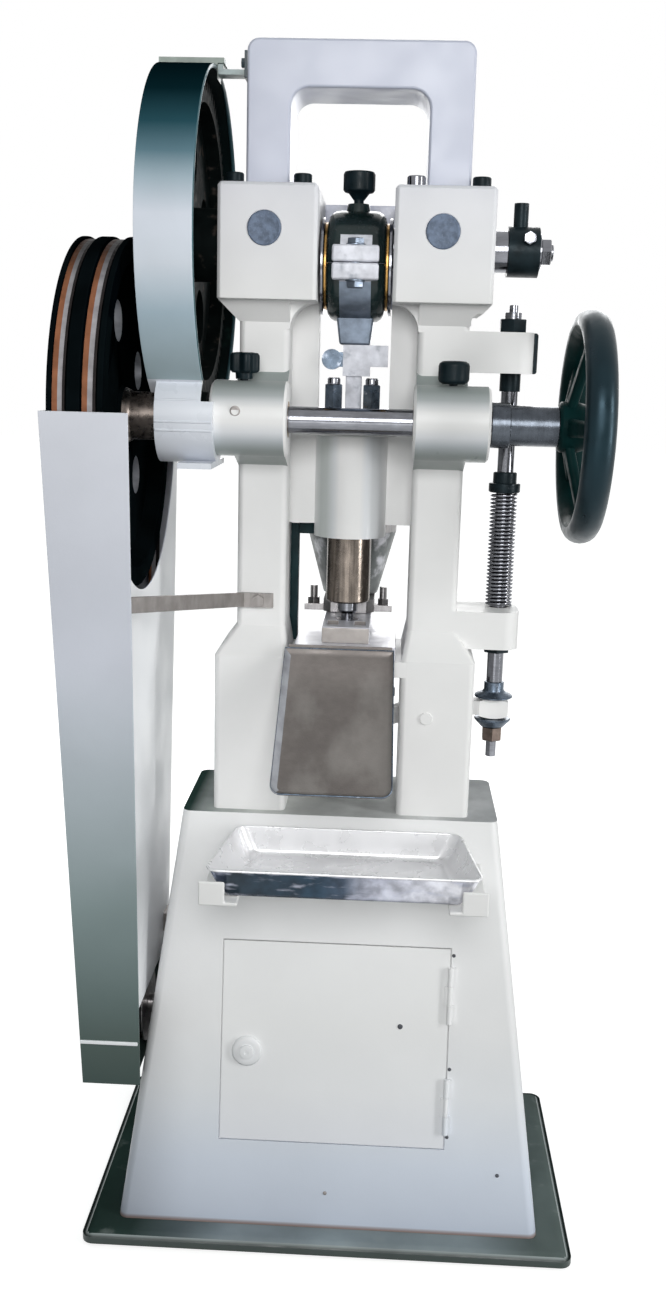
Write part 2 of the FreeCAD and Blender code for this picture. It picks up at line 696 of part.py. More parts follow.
MESH_ANGLE = math.atan2(DRIVE_Z - SHAFT_Z, DRIVE_Y)     # from the crankshaft to the drive shaft


def bull_gear():
    """Large gear with a recessed web, five round holes and a long hub."""
    teeth = gear_wheel(BULL_TEETH, CRANK, MESH_ANGLE)
    recess = rod("X", 164, (GEAR_X[0] + 16, GEAR_X[1] + 1), CRANK)
    hole = rod("X", 34, (-230, -185), (0, SHAFT_Z + 104))
    hub = rod("X", 44, (GEAR_X[0], -167), CRANK)
    wheel = carved(teeth, recess, *spread(hole, 5, "X", CRANK))
    return joined(wheel, hub).cut(rod("X", SHAFT_R, (-240, -160), CRANK))


def pinion():
    """Small gear on the drive shaft, with a gap of its teeth turned to the bull gear."""
    gap = MESH_ANGLE + math.pi + math.pi / PINION_TEETH
    teeth = gear_wheel(PINION_TEETH, DRIVE, gap)
    hub = rod("X", 30, (GEAR_X[1], -172), DRIVE)
    return joined(teeth, hub).cut(rod("X", DRIVE_R, (-240, -160), DRIVE))


CHEEK_X = (39.5, 43.5)
CAM_X = (184.0, 222.0)


def crankshaft():
    """Shaft, eccentric with its two cheeks, cam seat and threaded end in one forging."""
    parts = [rod("X", SHAFT_R, (-232, -CHEEK_X[0]), CRANK),
             rod("X", SHAFT_R, (CHEEK_X[0], CAM_X[0]), CRANK),
             rod("X", 20, (CAM_X[0], CAM_X[1]), CRANK),
             rod("X", 10, (CAM_X[1], 240), CRANK),
             rod("X", ECCENTRIC_R, (-CHEEK_X[0], CHEEK_X[0]), BIG_END)]
    parts += both_sides(rod("X", 58, CHEEK_X, BIG_END))
    return joined(*parts)


def lift_cam():
    """Cam on the crankshaft's right end, its finger pointing up at rest."""
    hub = rod("X", 30, CAM_X, CRANK)
    finger = rod("Z", 9, (SHAFT_Z + 20, SHAFT_Z + 57), (199, 0))
    return joined(hub, finger).cut(rod("X", 20, (CAM_X[0] - 1, CAM_X[1] + 1), CRANK))


def cam_bolt():
    """End nut and washer on the crankshaft, and the cam's clamp bolt."""
    washer = rod("X", 22, (CAM_X[1], CAM_X[1] + 3), CRANK)
    nut = hexagon("X", 17, (CAM_X[1] + 3, CAM_X[1] + 15), CRANK)
    end = joined(washer, nut).cut(rod("X", 10, (200, 250), CRANK))
    clamp = hexagon("Y", 8, (-38, -24), (208, SHAFT_Z + 14))
    return Part.makeCompound([end, clamp.cut(rod("X", 30, CAM_X, CRANK))])


def drive_shaft():
    """Plain shaft between the flywheel and the handwheel."""
    return rod("X", DRIVE_R, (-313, 300), DRIVE)


def flywheel():
    """Grooved wheel with a dished web, its hub and a long hub nose towards the pinion."""
    hub_r = 36.0
    wheel = turned("X", [(DRIVE_R, FLYWHEEL_X[0] - 1), (hub_r, FLYWHEEL_X[0] - 1), (hub_r, -290),
                         (182, -290), (182, FLYWHEEL_X[0]), (FLYWHEEL_R, FLYWHEEL_X[0]),
                         (FLYWHEEL_R, FLYWHEEL_X[1]), (182, FLYWHEEL_X[1]), (176, -276),
                         (hub_r, -276), (28.5, -262), (28.5, -231), (DRIVE_R, -231)], DRIVE)
    hole = rod("X", 24, (-300, -270), (DRIVE_Y, DRIVE_Z + 112))
    grooves = [belt_groove(x, (BELT_TOP, FLYWHEEL_R), BELT_DEPTH + 1, DRIVE) for x in BELT_X]
    return carved(wheel, *grooves, *spread(hole, 5, "X", DRIVE, 10))


def handwheel():
    """Dished wheel with a broad round rim, five spokes and an offset hub."""
    rim = turned("X", [(HANDWHEEL_R, 274), (HANDWHEEL_R, 286), (127, 298), (113, 293), (109, 272),
                       (121, 262), (132, 265)], DRIVE)
    hub = turned("X", [(DRIVE_R, 248), (30, 248), (30, 282), (26, 286), (DRIVE_R, 286)], DRIVE)
    outline = [(256, 26), (266, 26), (288, 113), (271, 113)]
    spoke = slab([(x, DRIVE_Z + up) for x, up in outline], "Y", (DRIVE_Y - 11, DRIVE_Y + 11))
    return joined(rim, hub, *spread(spoke, 5, "X", DRIVE, 18)).cut(rod("X", DRIVE_R, (240, 310), DRIVE))


def shaft_sleeve():
    """Stepped spacer between the right boss and the handwheel."""
    return turned("X", [(DRIVE_R, 168), (27, 168), (27, 190), (24, 190), (24, 248), (DRIVE_R, 248)], DRIVE)


def motor_pulley():
    """Two-groove pulley with its shaft into the motor."""
    shaft = rod("X", 11, (-255, -170), MOTOR)
    wheel = rod("X", PULLEY_R, (-312, -255), MOTOR)
    grooves = [belt_groove(x, (PULLEY_BELT, PULLEY_R), BELT_DEPTH + 1, MOTOR) for x in BELT_X]
    return joined(carved(wheel, *grooves), shaft)


# ---------------------------------------------------------------- connecting rod and ram
STRAP_R, LINER_R = 66.0, 50.0
STRAP_CROWN = 26.0            # half width at the outside, which widens inwards
STRAP_HALF = 36.0             # half width at the liner
EAR_Y = (50.0, 80.0)
EAR_H = 20.0
BOLT_R = 7.0
STRAP_BOLTS = [(0, -69), (0, 69)]
OIL_Z = 1335.0


def strap_half(upper):
    """Half ring with sloping sides and its two ears, above or below the joint of the strap."""
    low, high = (BIG_END_Z, BIG_END_Z + 80) if upper else (BIG_END_Z - 80, BIG_END_Z)
    ring = turned("X", [(LINER_R, -STRAP_HALF), (LINER_R + 2, -STRAP_HALF), (STRAP_R, -STRAP_CROWN),
                        (STRAP_R, STRAP_CROWN), (LINER_R + 2, STRAP_HALF), (LINER_R, STRAP_HALF)], BIG_END)
    ring = ring.common(box((-40, 40), (-90, 90), (low, high)))
    ear_z = (BIG_END_Z, BIG_END_Z + EAR_H) if upper else (BIG_END_Z - EAR_H, BIG_END_Z)
    ears = [box((-18, 18), y, ear_z) for y in (EAR_Y, (-EAR_Y[1], -EAR_Y[0]))]
    spot_face = (ear_z[1], ear_z[1] + 40) if upper else (ear_z[0] - 40, ear_z[0])
    tools = [rod("X", LINER_R, (-40, 40), BIG_END)]
    for spot in STRAP_BOLTS:
        tools += [rod("Z", BOLT_R, ear_z, spot), hexagon("Z", 12.5, spot_face, spot)]
    return joined(ring, *ears), tools


def strap_cap():
    """Upper half of the eccentric strap, with the seat of the oil knob."""
    half, tools = strap_half(True)
    seat = rod("Z", 14, (BIG_END_Z + 55, BIG_END_Z + 74))
    stem_hole = rod("Z", 6 + RUNNING, (BIG_END_Z + 62, BIG_END_Z + 80))
    return carved(joined(half, seat), *tools, stem_hole)


def con_rod():
    """Lower half of the strap, tapered neck and the tongue that enters the ram's fork."""
    half, tools = strap_half(False)
    neck = tapered(((-19, 19), (-15, 15)), ((-24, 24), (-24, 24)), (1154, BIG_END_Z - 56), 0)
    tongue = box((-TONGUE, TONGUE), (-TONGUE, TONGUE), (1040, 1156))
    return carved(joined(half, neck, tongue), *tools)


def big_end_liner():
    """Flanged bronze liner between the eccentric and the strap."""
    bore, flange_r, flange = ECCENTRIC_R + RUNNING, LINER_R + 2, 39.0
    profile = [(bore, -flange), (flange_r, -flange), (flange_r, -STRAP_HALF), (LINER_R, -STRAP_HALF),
               (LINER_R, STRAP_HALF), (flange_r, STRAP_HALF), (flange_r, flange), (bore, flange)]
    return turned("X", profile, BIG_END)


def strap_bolts():
    """Two bolts that close the strap, with nuts below."""
    bolts = []
    top, bottom = BIG_END_Z + EAR_H, BIG_END_Z - EAR_H
    for spot in STRAP_BOLTS:
        shank = rod("Z", BOLT_R, (bottom, top), spot)
        head = hexagon("Z", 11, (top, top + 8), spot)
        nut = hexagon("Z", 11, (bottom - 9, bottom), spot)
        bolts.append(joined(shank, head, nut))
    return Part.makeCompound(bolts)


def con_rod_clamp():
    """Clamp block round the tongue with a round boss on its left."""
    block = joined(box((-14, 42), (-14, 14), (1128, 1154)), box((-14, 20), (-14, 14), (1116, 1128)))
    boss = rod("Y", 12.5, (-14, 14), (-28, 1136))
    link = box((-28, -14), (-10, 10), (1127, 1145))
    return joined(block, boss, link).cut(box((-TONGUE, TONGUE), (-TONGUE, TONGUE), (1110, 1160)))


def oil_knob():
    """Black oil knob with a cone down to its stem."""
    return turned("Z", [(0, BIG_END_Z + 63), (6, BIG_END_Z + 63), (6, 1326), (13, OIL_Z), (19.5, OIL_Z + 1),
                        (19.5, 1360), (0, 1360)])


def ram():
    """Ram with the fork for the tongue and a bore for the punch."""
    body = chamfered(rod("Z", RAM_R, RAM_Z), 2, at_level(RAM_Z[0]))
    fork = box((-TONGUE - SLIDING, TONGUE + SLIDING), (-40, 40), (FORK_Z, RAM_Z[1] + 1))
    return carved(body, fork, rod("Z", PUNCH_R, (RAM_Z[0] - 1, RAM_Z[0] + 30)))


def upper_punch():
    """Punch with its clamping nut."""
    nut = turned("Z", [(0, 813), (10, 813), (13, 817), (13, RAM_Z[0]), (0, RAM_Z[0])])
    return joined(rod("Z", PUNCH_R, (800, RAM_Z[0] + 30)), nut)


GLANDS = [(-23.5, -36.0), (23.5, -36.0)]


def clamp_screws():
    """Gland nuts on the barrel's flange and the screws in the die block's slots."""
    studs = []
    for spot in GLANDS:
        studs.append(turned("Z", [(0, BARREL_TOP), (12, BARREL_TOP), (12, 1106), (8, 1114), (0, 1114)], spot))
    screws = [hexagon("Z", 6.5, (TABLE_TOP, 802), (x, -30)) for x in (-17.5, 17.5)]
    return Part.makeCompound(studs + screws)


# ---------------------------------------------------------------- die table, feed and tray
def die_table():
    """Table on the bridge of the column."""
    return box((-64, 64), (-75, 150), (765, TABLE_TOP)).cut(rod("Z", 12, (760, 790)))


def die_block():
    """Track of the feed shoe, with the die's seat and two screw slots."""
    block = chamfered(box((-30, 30), (-60, 150), (TABLE_TOP, BLOCK_TOP)), 2,
                      lambda b: b.XLength > 50 and b.ZMin > BLOCK_TOP - 1 and b.YMax < -50)
    slots = [box((x - 7.5, x + 7.5), (-44, -16), (TABLE_TOP - 1, BLOCK_TOP + 1)) for x in (-17.5, 17.5)]
    return carved(block, rod("Z", DIE_R, (780, 810)), *slots)


def die():
    """Hardened die."""
    return tube("Z", DIE_R, DIE_BORE, (TABLE_TOP, BLOCK_TOP))


SHOE_Z = (805.3, 823.0)


def feed_shoe():
    """Sliding shoe with a pocket, side ears and their studs."""
    body = chamfered(box((-34, 34), (40, 150), SHOE_Z), 10, lambda b: upright_edge(b) and b.YMax < 41)
    pocket = box((-11, 11), (44, 124), (800, 830))
    ears = [box((-60, -34), (55, 75), (SHOE_Z[0], 814)), box((34, 58), (55, 75), (SHOE_Z[0], 814))]
    studs = []
    for x, radius in ((-48, 9), (46, 8)):
        studs += [hexagon("Z", radius, (814, 822), (x, 65)), rod("Z", 5, (820, 838), (x, 65))]
    return joined(body, *ears, *studs).cut(pocket)


HOPPER_Y = 112.0
HOPPER_R = 61.0
HOPPER_WALL = 1.5
HOPPER_FOOT = (37.5, 823.6)   # radius and height of the funnel's foot
HOPPER_Z = (910.0, 1035.0)    # straight part


def hopper():
    """Straight upper part of the powder hopper, open at both ends."""
    return tube("Z", HOPPER_R, HOPPER_R - HOPPER_WALL, HOPPER_Z, (0, HOPPER_Y))


def hopper_funnel():
    """Funnel under the hopper, with a floor and a round outlet."""
    foot_r, foot_z = HOPPER_FOOT
    centre = (0, HOPPER_Y)
    span = (foot_z, HOPPER_Z[0])
    outer = taper("Z", (foot_r, HOPPER_R), span, centre)
    inner = taper("Z", (foot_r - HOPPER_WALL, HOPPER_R - HOPPER_WALL), (span[0] + HOPPER_WALL, span[1]), centre)
    return carved(outer, inner, rod("Z", 12, (820, 830), centre))


def hopper_plate():
    """Plate that holds the hopper to the uprights' backs."""
    plate = box((-125, 125), (UPRIGHT_Y[1], UPRIGHT_Y[1] + 6), (940, 990))
    return plate.cut(rod("Z", HOPPER_R, (930, 1000), (0, HOPPER_Y)))


CHUTE_X = (-70.0, 60.0)


def chute():
    """Sloping sheet that leads the tablets to the tray, with rims that rise towards its foot."""
    sheet = 2.0
    high, low = (-75.0, 782.0), (-215.0, 629.0)
    plate = strip([low, high], "X", CHUTE_X, sheet)
    flange = box(CHUTE_X, (-77, -75), (763, TABLE_TOP))
    run = math.hypot(high[0] - low[0], high[1] - low[1])
    up = ((low[1] - high[1]) / run, (high[0] - low[0]) / run)
    outline = [low, high] + [(end[0] + up[0] * rise, end[1] + up[1] * rise)
                             for end, rise in ((high, 6), (low, 22))]
    rims = [slab(outline, "X", x)
            for x in ((CHUTE_X[0], CHUTE_X[0] + sheet), (CHUTE_X[1] - sheet, CHUTE_X[1]))]
    return joined(plate, flange, *rims).cut(box((-80, 80), (-75, -50), (600, 800)))


def tray():
    """Pressed tray whose sides flare towards its top and its front."""
    wall = 2.0

    def level(z, back_y, back_half, front_y, front_half, inset):
        return level_quad(z, (back_y - inset, TRAY_X - back_half + inset, TRAY_X + back_half - inset),
                          (front_y + inset, TRAY_X - front_half + inset, TRAY_X + front_half - inset))

    outer = loft(level(510, -100, 125, -240, 141, 0), level(548, -92, 144, -249, 165, 0))
    inner = loft(level(510 + wall, -100, 125, -240, 141, wall), level(548.01, -92, 144, -249, 165, wall))
    return outer.cut(inner)


def tray_brackets():
    """Two arms on the pedestal's front that carry the tray, each with an upturned tab."""
    arms = []
    for x in ((-158, -127), (151, 182)):
        tongue = (x[0], -112) if x[0] < 0 else (136, x[1])
        arm = box(tongue, (-256, -90), (505, 510))
        tab = box(x, (-256, -252), (505, 535))
        root = box(tongue, (-125, -90), (470, 510))
        arms.append(joined(arm, tab, root).cut(pedestal_block(0, (BASE_H, PED_TOP))))
    return Part.makeCompound(arms)


# ---------------------------------------------------------------- lift rod, lever and lower punch
def rod_bushes():
    """Bushes of the lift rod: a long one with a nut above, a plain one below."""
    centre = (ROD_X, 0)
    upper = joined(rod("Z", ROD_BUSH_R, (1102, 1174), centre), hexagon("Z", 18, (1173, 1190), centre))
    lower = joined(rod("Z", ROD_BUSH_R, (778, LOWER_LUG[1]), centre),
                   hexagon("Z", 18, (768, LOWER_LUG[0]), centre))
    bore = rod("Z", ROD_R + RUNNING, (760, 1210), centre)
    return Part.makeCompound([upper.cut(bore), lower.cut(bore)])


def rod_guide_cap():
    """Dark plate on the end of the upper lug."""
    plate = box((LUG_X[1], LUG_X[1] + 6), (-26, 6), UPPER_LUG)
    return chamfered(plate, 2, lambda b: b.XMin > LUG_X[1] + 5)


def lift_rod():
    """Rod from the cam down to the lever, stepped at both ends."""
    tip, foot = 1207.0, 626.0
    return turned("Z", [(0, foot), (ROD_FOOT_R, foot), (ROD_FOOT_R, 728), (ROD_R, 728),
                        (ROD_R, 1198), (5.5, 1198), (5.5, tip), (0, tip)], (ROD_X, 0))


def rod_nuts():
    """Collar, two flanges and lock nut on the lift rod."""
    centre = (ROD_X, 0)
    collar = turned("Z", [(ROD_R, 976), (20, 976), (20, 988), (15, 988), (15, 1002), (ROD_R, 1002)], centre)
    upper = turned("Z", [(ROD_FOOT_R, 707), (25, 707), (13, 716), (13, 728), (ROD_FOOT_R, 728)], centre)
    lower = turned("Z", [(ROD_FOOT_R, 667), (16, 667), (24, 679), (ROD_FOOT_R, 679)], centre)
    nut = hexagon("Z", 14, (648, 667), centre).cut(rod("Z", ROD_FOOT_R, (640, 670), centre))
    return Part.makeCompound([collar, upper, lower, nut])


def return_spring():
    """Envelope of the coil spring between the lower lug and the rod's collar."""
    return tube("Z", 17.5, 12.5, (LOWER_LUG[1], 976), (ROD_X, 0))


def crowned_end(centre, half_x, half_y):
    """Lever end with crowned faces above and below."""
    block = box((centre[0] - half_x, centre[0] + half_x), (-half_y, half_y),
                (centre[1] - LEVER_HALF, centre[1] + LEVER_HALF))
    for side in (-1, 1):
        block = block.common(rod("Y", CROWN_R, (-half_y, half_y),
                                 (centre[0], centre[1] + side * (CROWN_R - LEVER_HALF))))
    return block


def lift_lever():
    """Two-armed lever: an eye on the rod, a hub on the pin and a fork on the lower punch."""
    half_y = 11.0
    hub = rod("Y", 17, (-16.5, 16.5), PIVOT)
    eye = crowned_end(EYE_AT, 19, 14)
    fork = crowned_end(FORK_AT, 22, 17)
    right = slab([(PIVOT[0], PIVOT[1] - 12), (EYE_AT[0] - 15, EYE_AT[1] - 9), (EYE_AT[0] - 15, EYE_AT[1] + 9),
                  (PIVOT[0], PIVOT[1] + 12)], "Y", (-half_y, half_y))
    left = slab([(PIVOT[0], PIVOT[1] - 12), (PIVOT[0], PIVOT[1] + 12), (FORK_AT[0] + 16, FORK_AT[1] + 10),
                 (FORK_AT[0] + 16, FORK_AT[1] - 10)], "Y", (-half_y, half_y))
    eye_slot = box((EYE_AT[0] - 10, EYE_AT[0] + 10), (-7.3, 7.3), (670, 720))
    fork_slot = joined(box((-30, 0), (-10.6, 10.6), (640, 680)), rod("Z", 10.6, (640, 680)),
                       rod("Z", 10.6, (640, 680), (4, 0)), box((0, 4), (-10.6, 10.6), (640, 680)))
    return carved(joined(hub, eye, fork, right, left), eye_slot, fork_slot,
                  rod("Y", PIVOT_R + RUNNING, (-20, 20), PIVOT))


def lever_pivot_pin():
    """Pin of the lift lever through the right leg."""
    return rod("Y", PIVOT_R, (-77, 75), PIVOT)


PUNCH_COLLAR = 673.8
EJECT_Z = (702.0, 714.0)
WEIGHT_Z = (618.0, 630.0)


def lower_punch():
    """Lower punch on its spindle, with collars above and below the lever's fork."""
    gap = 0.4
    spindle = turned("Z", [(0, 588), (10, 588), (10, 740), (PUNCH_R, 742), (PUNCH_R, 793), (0, 793)])
    collars = [(16, (WEIGHT_Z[0] - 12, WEIGHT_Z[0] - gap)), (20, (WEIGHT_Z[1] + gap, 646.2)),
               (22, (PUNCH_COLLAR, 682)), (16, (682, EJECT_Z[0] - gap)), (16, (EJECT_Z[1] + gap, 722))]
    return joined(spindle, *[hexagon("Z", radius, span) for radius, span in collars])


def regulator(z):
    """Toothed adjusting ring that turns on the lower punch's spindle."""
    teeth = 18
    outline = []
    for i in range(teeth):
        for step, radius in ((0.0, 66), (0.35, 66), (0.5, 59), (0.85, 59)):
            turn = 2 * math.pi * (i + step) / teeth
            outline.append((radius * math.cos(turn), radius * math.sin(turn)))
    return slab(outline, "Z", z).cut(rod("Z", 10 + RUNNING, (z[0] - 1, z[1] + 1)))


# ---------------------------------------------------------------- small knobs
def star_knob():
    """Five-lobed knob with a stem into the left boss."""
    centre = (KNOB_X["star"], DRIVE_Y)
    top, bottom = 1141.0, 1117.0
    outline = []
    for i in range(5):
        for step, radius in ((0.0, 12), (0.2, 17), (0.4, 18.5), (0.6, 18.5), (0.8, 17)):
            turn = 2 * math.pi * (i + step) / 5
            outline.append((centre[0] + radius * math.cos(turn), centre[1] + radius * math.sin(turn)))
    collar = rod("Z", 10, (1109.6, bottom), centre)
    return joined(slab(outline, "Z", (bottom, top)), collar, rod("Z", 5, (1094, bottom + 2), centre))


def grease_cap():
    """Screw-down grease cap with a stem into the right boss."""
    centre = (KNOB_X["grease"], DRIVE_Y)
    return turned("Z", [(0, 1094), (5, 1094), (5, 1109.6), (14, 1109.6), (18.5, 1113), (18.5, 1137),
                        (0, 1137)], centre)


# ---------------------------------------------------------------- all nodes
right_block = bearing_block()
NODES = {
    "base_plate": base_plate(),
    "pedestal": pedestal(),
    "door_hinges": door_hinges(),
    "cable_gland": cable_gland(),
    "motor": motor(),
    "column_frame": column_frame(),
    "ram_bush": ram_bush(),
    "bearing_block_left": mirrored(right_block).cut(plug_recess(PLUGS[0])),
    "bearing_block_right": right_block.cut(plug_recess(PLUGS[1])),
    "block_plugs": block_plugs(),
    "block_screws": block_screws(),
    "shaft_bushes": shaft_bushes(),
    "rear_cover": rear_cover(),
    "top_arch": top_arch(),
    "gear_guard": gear_guard(),
    "pinion_guard": pinion_guard(),
    "belt_guard": belt_guard(),
    "belt_guard_lower_cover": belt_guard_lower_cover(),
    "guard_stays": guard_stays(),
    "v_belts": v_belts(),
    "die_table": die_table(),
    "die_block": die_block(),
    "die": die(),
    "clamp_screws": clamp_screws(),
    "hopper": hopper(),
    "hopper_funnel": hopper_funnel(),
    "hopper_plate": hopper_plate(),
    "chute": chute(),
    "tray_brackets": tray_brackets(),
    "rod_bushes": rod_bushes(),
    "rod_guide_cap": rod_guide_cap(),
    "lever_pivot_pin": lever_pivot_pin(),
    "crankshaft": crankshaft(),
    "bull_gear": bull_gear(),
    "lift_cam": lift_cam(),
    "cam_bolt": cam_bolt(),
    "drive_shaft": drive_shaft(),
    "pinion": pinion(),
    "flywheel": flywheel(),
    "handwheel": handwheel(),
    "shaft_sleeve": shaft_sleeve(),
    "motor_pulley": motor_pulley(),
    "strap_cap": strap_cap(),
    "con_rod": con_rod(),
    "big_end_liner": big_end_liner(),
    "strap_bolts": strap_bolts(),
    "con_rod_clamp": con_rod_clamp(),
    "oil_knob": oil_knob(),
    "ram": ram(),
    "upper_punch": upper_punch(),
    "lift_rod": lift_rod(),
    "rod_nuts": rod_nuts(),
    "return_spring": return_spring(),
    "lift_lever": lift_lever(),
    "lower_punch": lower_punch(),
    "ejection_regulator": regulator(EJECT_Z),
    "weight_regulator": regulator(WEIGHT_Z),
    "feed_shoe": feed_shoe(),
    "door": door(),
    "door_knob": door_knob(),
    "tray": tray(),
    "star_knob": star_knob(),
    "grease_cap": grease_cap(),
}

os.makedirs("parts", exist_ok=True)
for name, shape in NODES.items():
    shape.exportStep(f"parts/{name}.step")
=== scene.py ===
import json
import math

import bpy
from mathutils import Matrix, Vector


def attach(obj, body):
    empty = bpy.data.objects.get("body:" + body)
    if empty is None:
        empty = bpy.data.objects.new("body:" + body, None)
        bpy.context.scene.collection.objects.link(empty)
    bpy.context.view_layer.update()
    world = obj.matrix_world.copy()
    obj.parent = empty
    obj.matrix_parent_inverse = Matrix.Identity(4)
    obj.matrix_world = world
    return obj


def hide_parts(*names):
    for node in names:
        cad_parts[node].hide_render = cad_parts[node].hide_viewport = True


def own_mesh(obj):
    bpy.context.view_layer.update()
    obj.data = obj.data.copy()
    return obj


# The looks of the tablet press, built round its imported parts. X right, -Y front, Z up.
# Sizes are written in millimetres, as in the workshop, and MM turns them into metres.

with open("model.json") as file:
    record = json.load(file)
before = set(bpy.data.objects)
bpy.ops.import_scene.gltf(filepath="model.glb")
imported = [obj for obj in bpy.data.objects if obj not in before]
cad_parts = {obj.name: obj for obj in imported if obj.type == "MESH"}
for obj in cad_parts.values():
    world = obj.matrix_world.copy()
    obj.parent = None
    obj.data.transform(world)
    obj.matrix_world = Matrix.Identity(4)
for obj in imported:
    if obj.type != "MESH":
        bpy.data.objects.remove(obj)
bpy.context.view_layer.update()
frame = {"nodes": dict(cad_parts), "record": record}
nodes = frame["nodes"]
MM = 0.001
BODY_OF = {node: body for body, members in frame["record"]["behaviour"]["bodies"].items() for node in members}
SLOT_OF = {entry["node"]: entry["material_slot"] for entry in frame["record"]["subparts"]}

SHAFT_Z = 1270.0              # crankshaft height
DRIVE = (-88.0, 1062.93)      # drive shaft, Y and Z
BIG_END_Z = 1248.0            # joint of the connecting rod's strap
GUARD_R = 206.6               # gear guard
GUARD_SEAM = 1107.0           # height at which the gear guard's drum ends
ROD_X = 196.0                 # lift rod
SPRING_Z = (828.0, 976.0)     # spring at rest, foot and top
BOSS_R = 45.0                 # bosses of the drive shaft
BARREL_R = 46.0               # guide barrel of the ram
HUB_R = 34.0                  # flywheel's hub
WEB_R = 118.0                 # handwheel inside its rim
EAR_Y = (55, 80)              # ears of the strap, from near to far
EAR_HEIGHT = 20


# ---------------- shader nodes
def moved_range(tree, value, low, high, to_low=0.0, to_high=1.0, kind="LINEAR"):
    """A value moved from one range to another, and kept inside it."""
    node = tree.nodes.new("ShaderNodeMapRange")
    node.interpolation_type = kind
    for name, number in (("From Min", low), ("From Max", high), ("To Min", to_low), ("To Max", to_high)):
        node.inputs[name].default_value = number
    tree.links.new(value, node.inputs["Value"])
    return node.outputs["Result"]


def reckoned(tree, operation, first, second):
    """Result of one maths operation on two values."""
    node = tree.nodes.new("ShaderNodeMath")
    node.operation = operation
    tree.links.new(first, node.inputs[0])
    tree.links.new(second, node.inputs[1])
    return node.outputs[0]


def seen_directly(tree):
    """1 for what the camera, gloss or glass sees, 0 for plain light."""
    rays = tree.nodes.new("ShaderNodeLightPath").outputs
    seen = reckoned(tree, "MAXIMUM", rays["Is Camera Ray"], rays["Is Glossy Ray"])
    return reckoned(tree, "MAXIMUM", seen, rays["Is Transmission Ray"])


def place_on(tree, stretch=None):
    """Position on the piece in metres, stretched along each axis for brushed lines."""
    where = tree.nodes.new("ShaderNodeTexCoord").outputs["Object"]
    if stretch is None:
        return where
    mapping = tree.nodes.new("ShaderNodeMapping")
    mapping.inputs["Scale"].default_value = stretch
    tree.links.new(where, mapping.inputs["Vector"])
    return mapping.outputs["Vector"]


def cloud(tree, scale, stretch=None, detail=5.0):
    """Noise of a given scale."""
    noise = tree.nodes.new("ShaderNodeTexNoise")
    noise.inputs["Scale"].default_value = scale
    noise.inputs["Detail"].default_value = detail
    tree.links.new(place_on(tree, stretch), noise.inputs["Vector"])
    return noise.outputs["Fac"]


def patches(tree, noise, low, high, to_low, to_high):
    """Noise turned into soft patches between two strengths."""
    return moved_range(tree, noise, low, high, to_low, to_high, "SMOOTHSTEP")


def tones(tree, value, stops, crisp):
    """Colours along a value, from (share, red, green, blue) stops."""
    ramp = tree.nodes.new("ShaderNodeValToRGB")
    elements = ramp.color_ramp.elements
    ramp.color_ramp.interpolation = "CONSTANT" if crisp else "LINEAR"
    elements.remove(elements[1])
    elements[0].position = stops[0][0]
    elements[0].color = (*stops[0][1:], 1)
    for share, *colour in stops[1:]:
        elements.new(share).color = (*colour, 1)
    tree.links.new(value, ramp.inputs["Fac"])
    return ramp.outputs["Color"]


def mixed(tree, share, first, second, kind="MIX"):
    """Two colours mixed by a share; either may be a plain colour."""
    node = tree.nodes.new("ShaderNodeMix")
    node.data_type = "RGBA"
    node.blend_type = kind
    for number, value in ((0, share), (6, first), (7, second)):
        if isinstance(value, bpy.types.NodeSocket):
            tree.links.new(value, node.inputs[number])
        else:
            node.inputs[number].default_value = (*value, 1) if number else value
    return node.outputs[2]


def shaded(tree, colour, value):
    """A colour made darker or lighter by a value."""
    node = tree.nodes.new("ShaderNodeCombineColor")
    for channel in ("Red", "Green", "Blue"):
        tree.links.new(value, node.inputs[channel])
    return mixed(tree, 1.0, colour, node.outputs["Color"], "MULTIPLY")


def along_axis(tree, axis, span):
    """Share of the way along a span of one axis, in mm."""
    parts = tree.nodes.new("ShaderNodeSeparateXYZ")
    tree.links.new(place_on(tree), parts.inputs["Vector"])
    return moved_range(tree, parts.outputs[axis], span[0] * MM, span[1] * MM)


def new_material(name):
    """Material with its nodes on, and its tree and shader."""
    material = bpy.data.materials.new(name)
    material.use_nodes = True
    return material, material.node_tree, material.node_tree.nodes["Principled BSDF"]


# ---------------- camera, stage and lights
def set_camera():
    """Camera in front, a little above the middle, looking down at the press."""
    lens = bpy.data.cameras.new("camera")
    lens.lens = 35.72
    lens.sensor_width = 36
    camera = bpy.data.objects.new("camera", lens)
    swing, pitch, roll = 0.041, 0.213, 0.026
    turn = (Matrix.Rotation(swing, 4, "Z") @ Matrix.Rotation(math.pi / 2 - pitch, 4, "X")
            @ Matrix.Rotation(roll, 4, "Z"))
    camera.matrix_world = Matrix.Translation((0.051, -1.669, 1.120)) @ turn
    bpy.context.scene.collection.objects.link(camera)
    bpy.context.scene.camera = camera


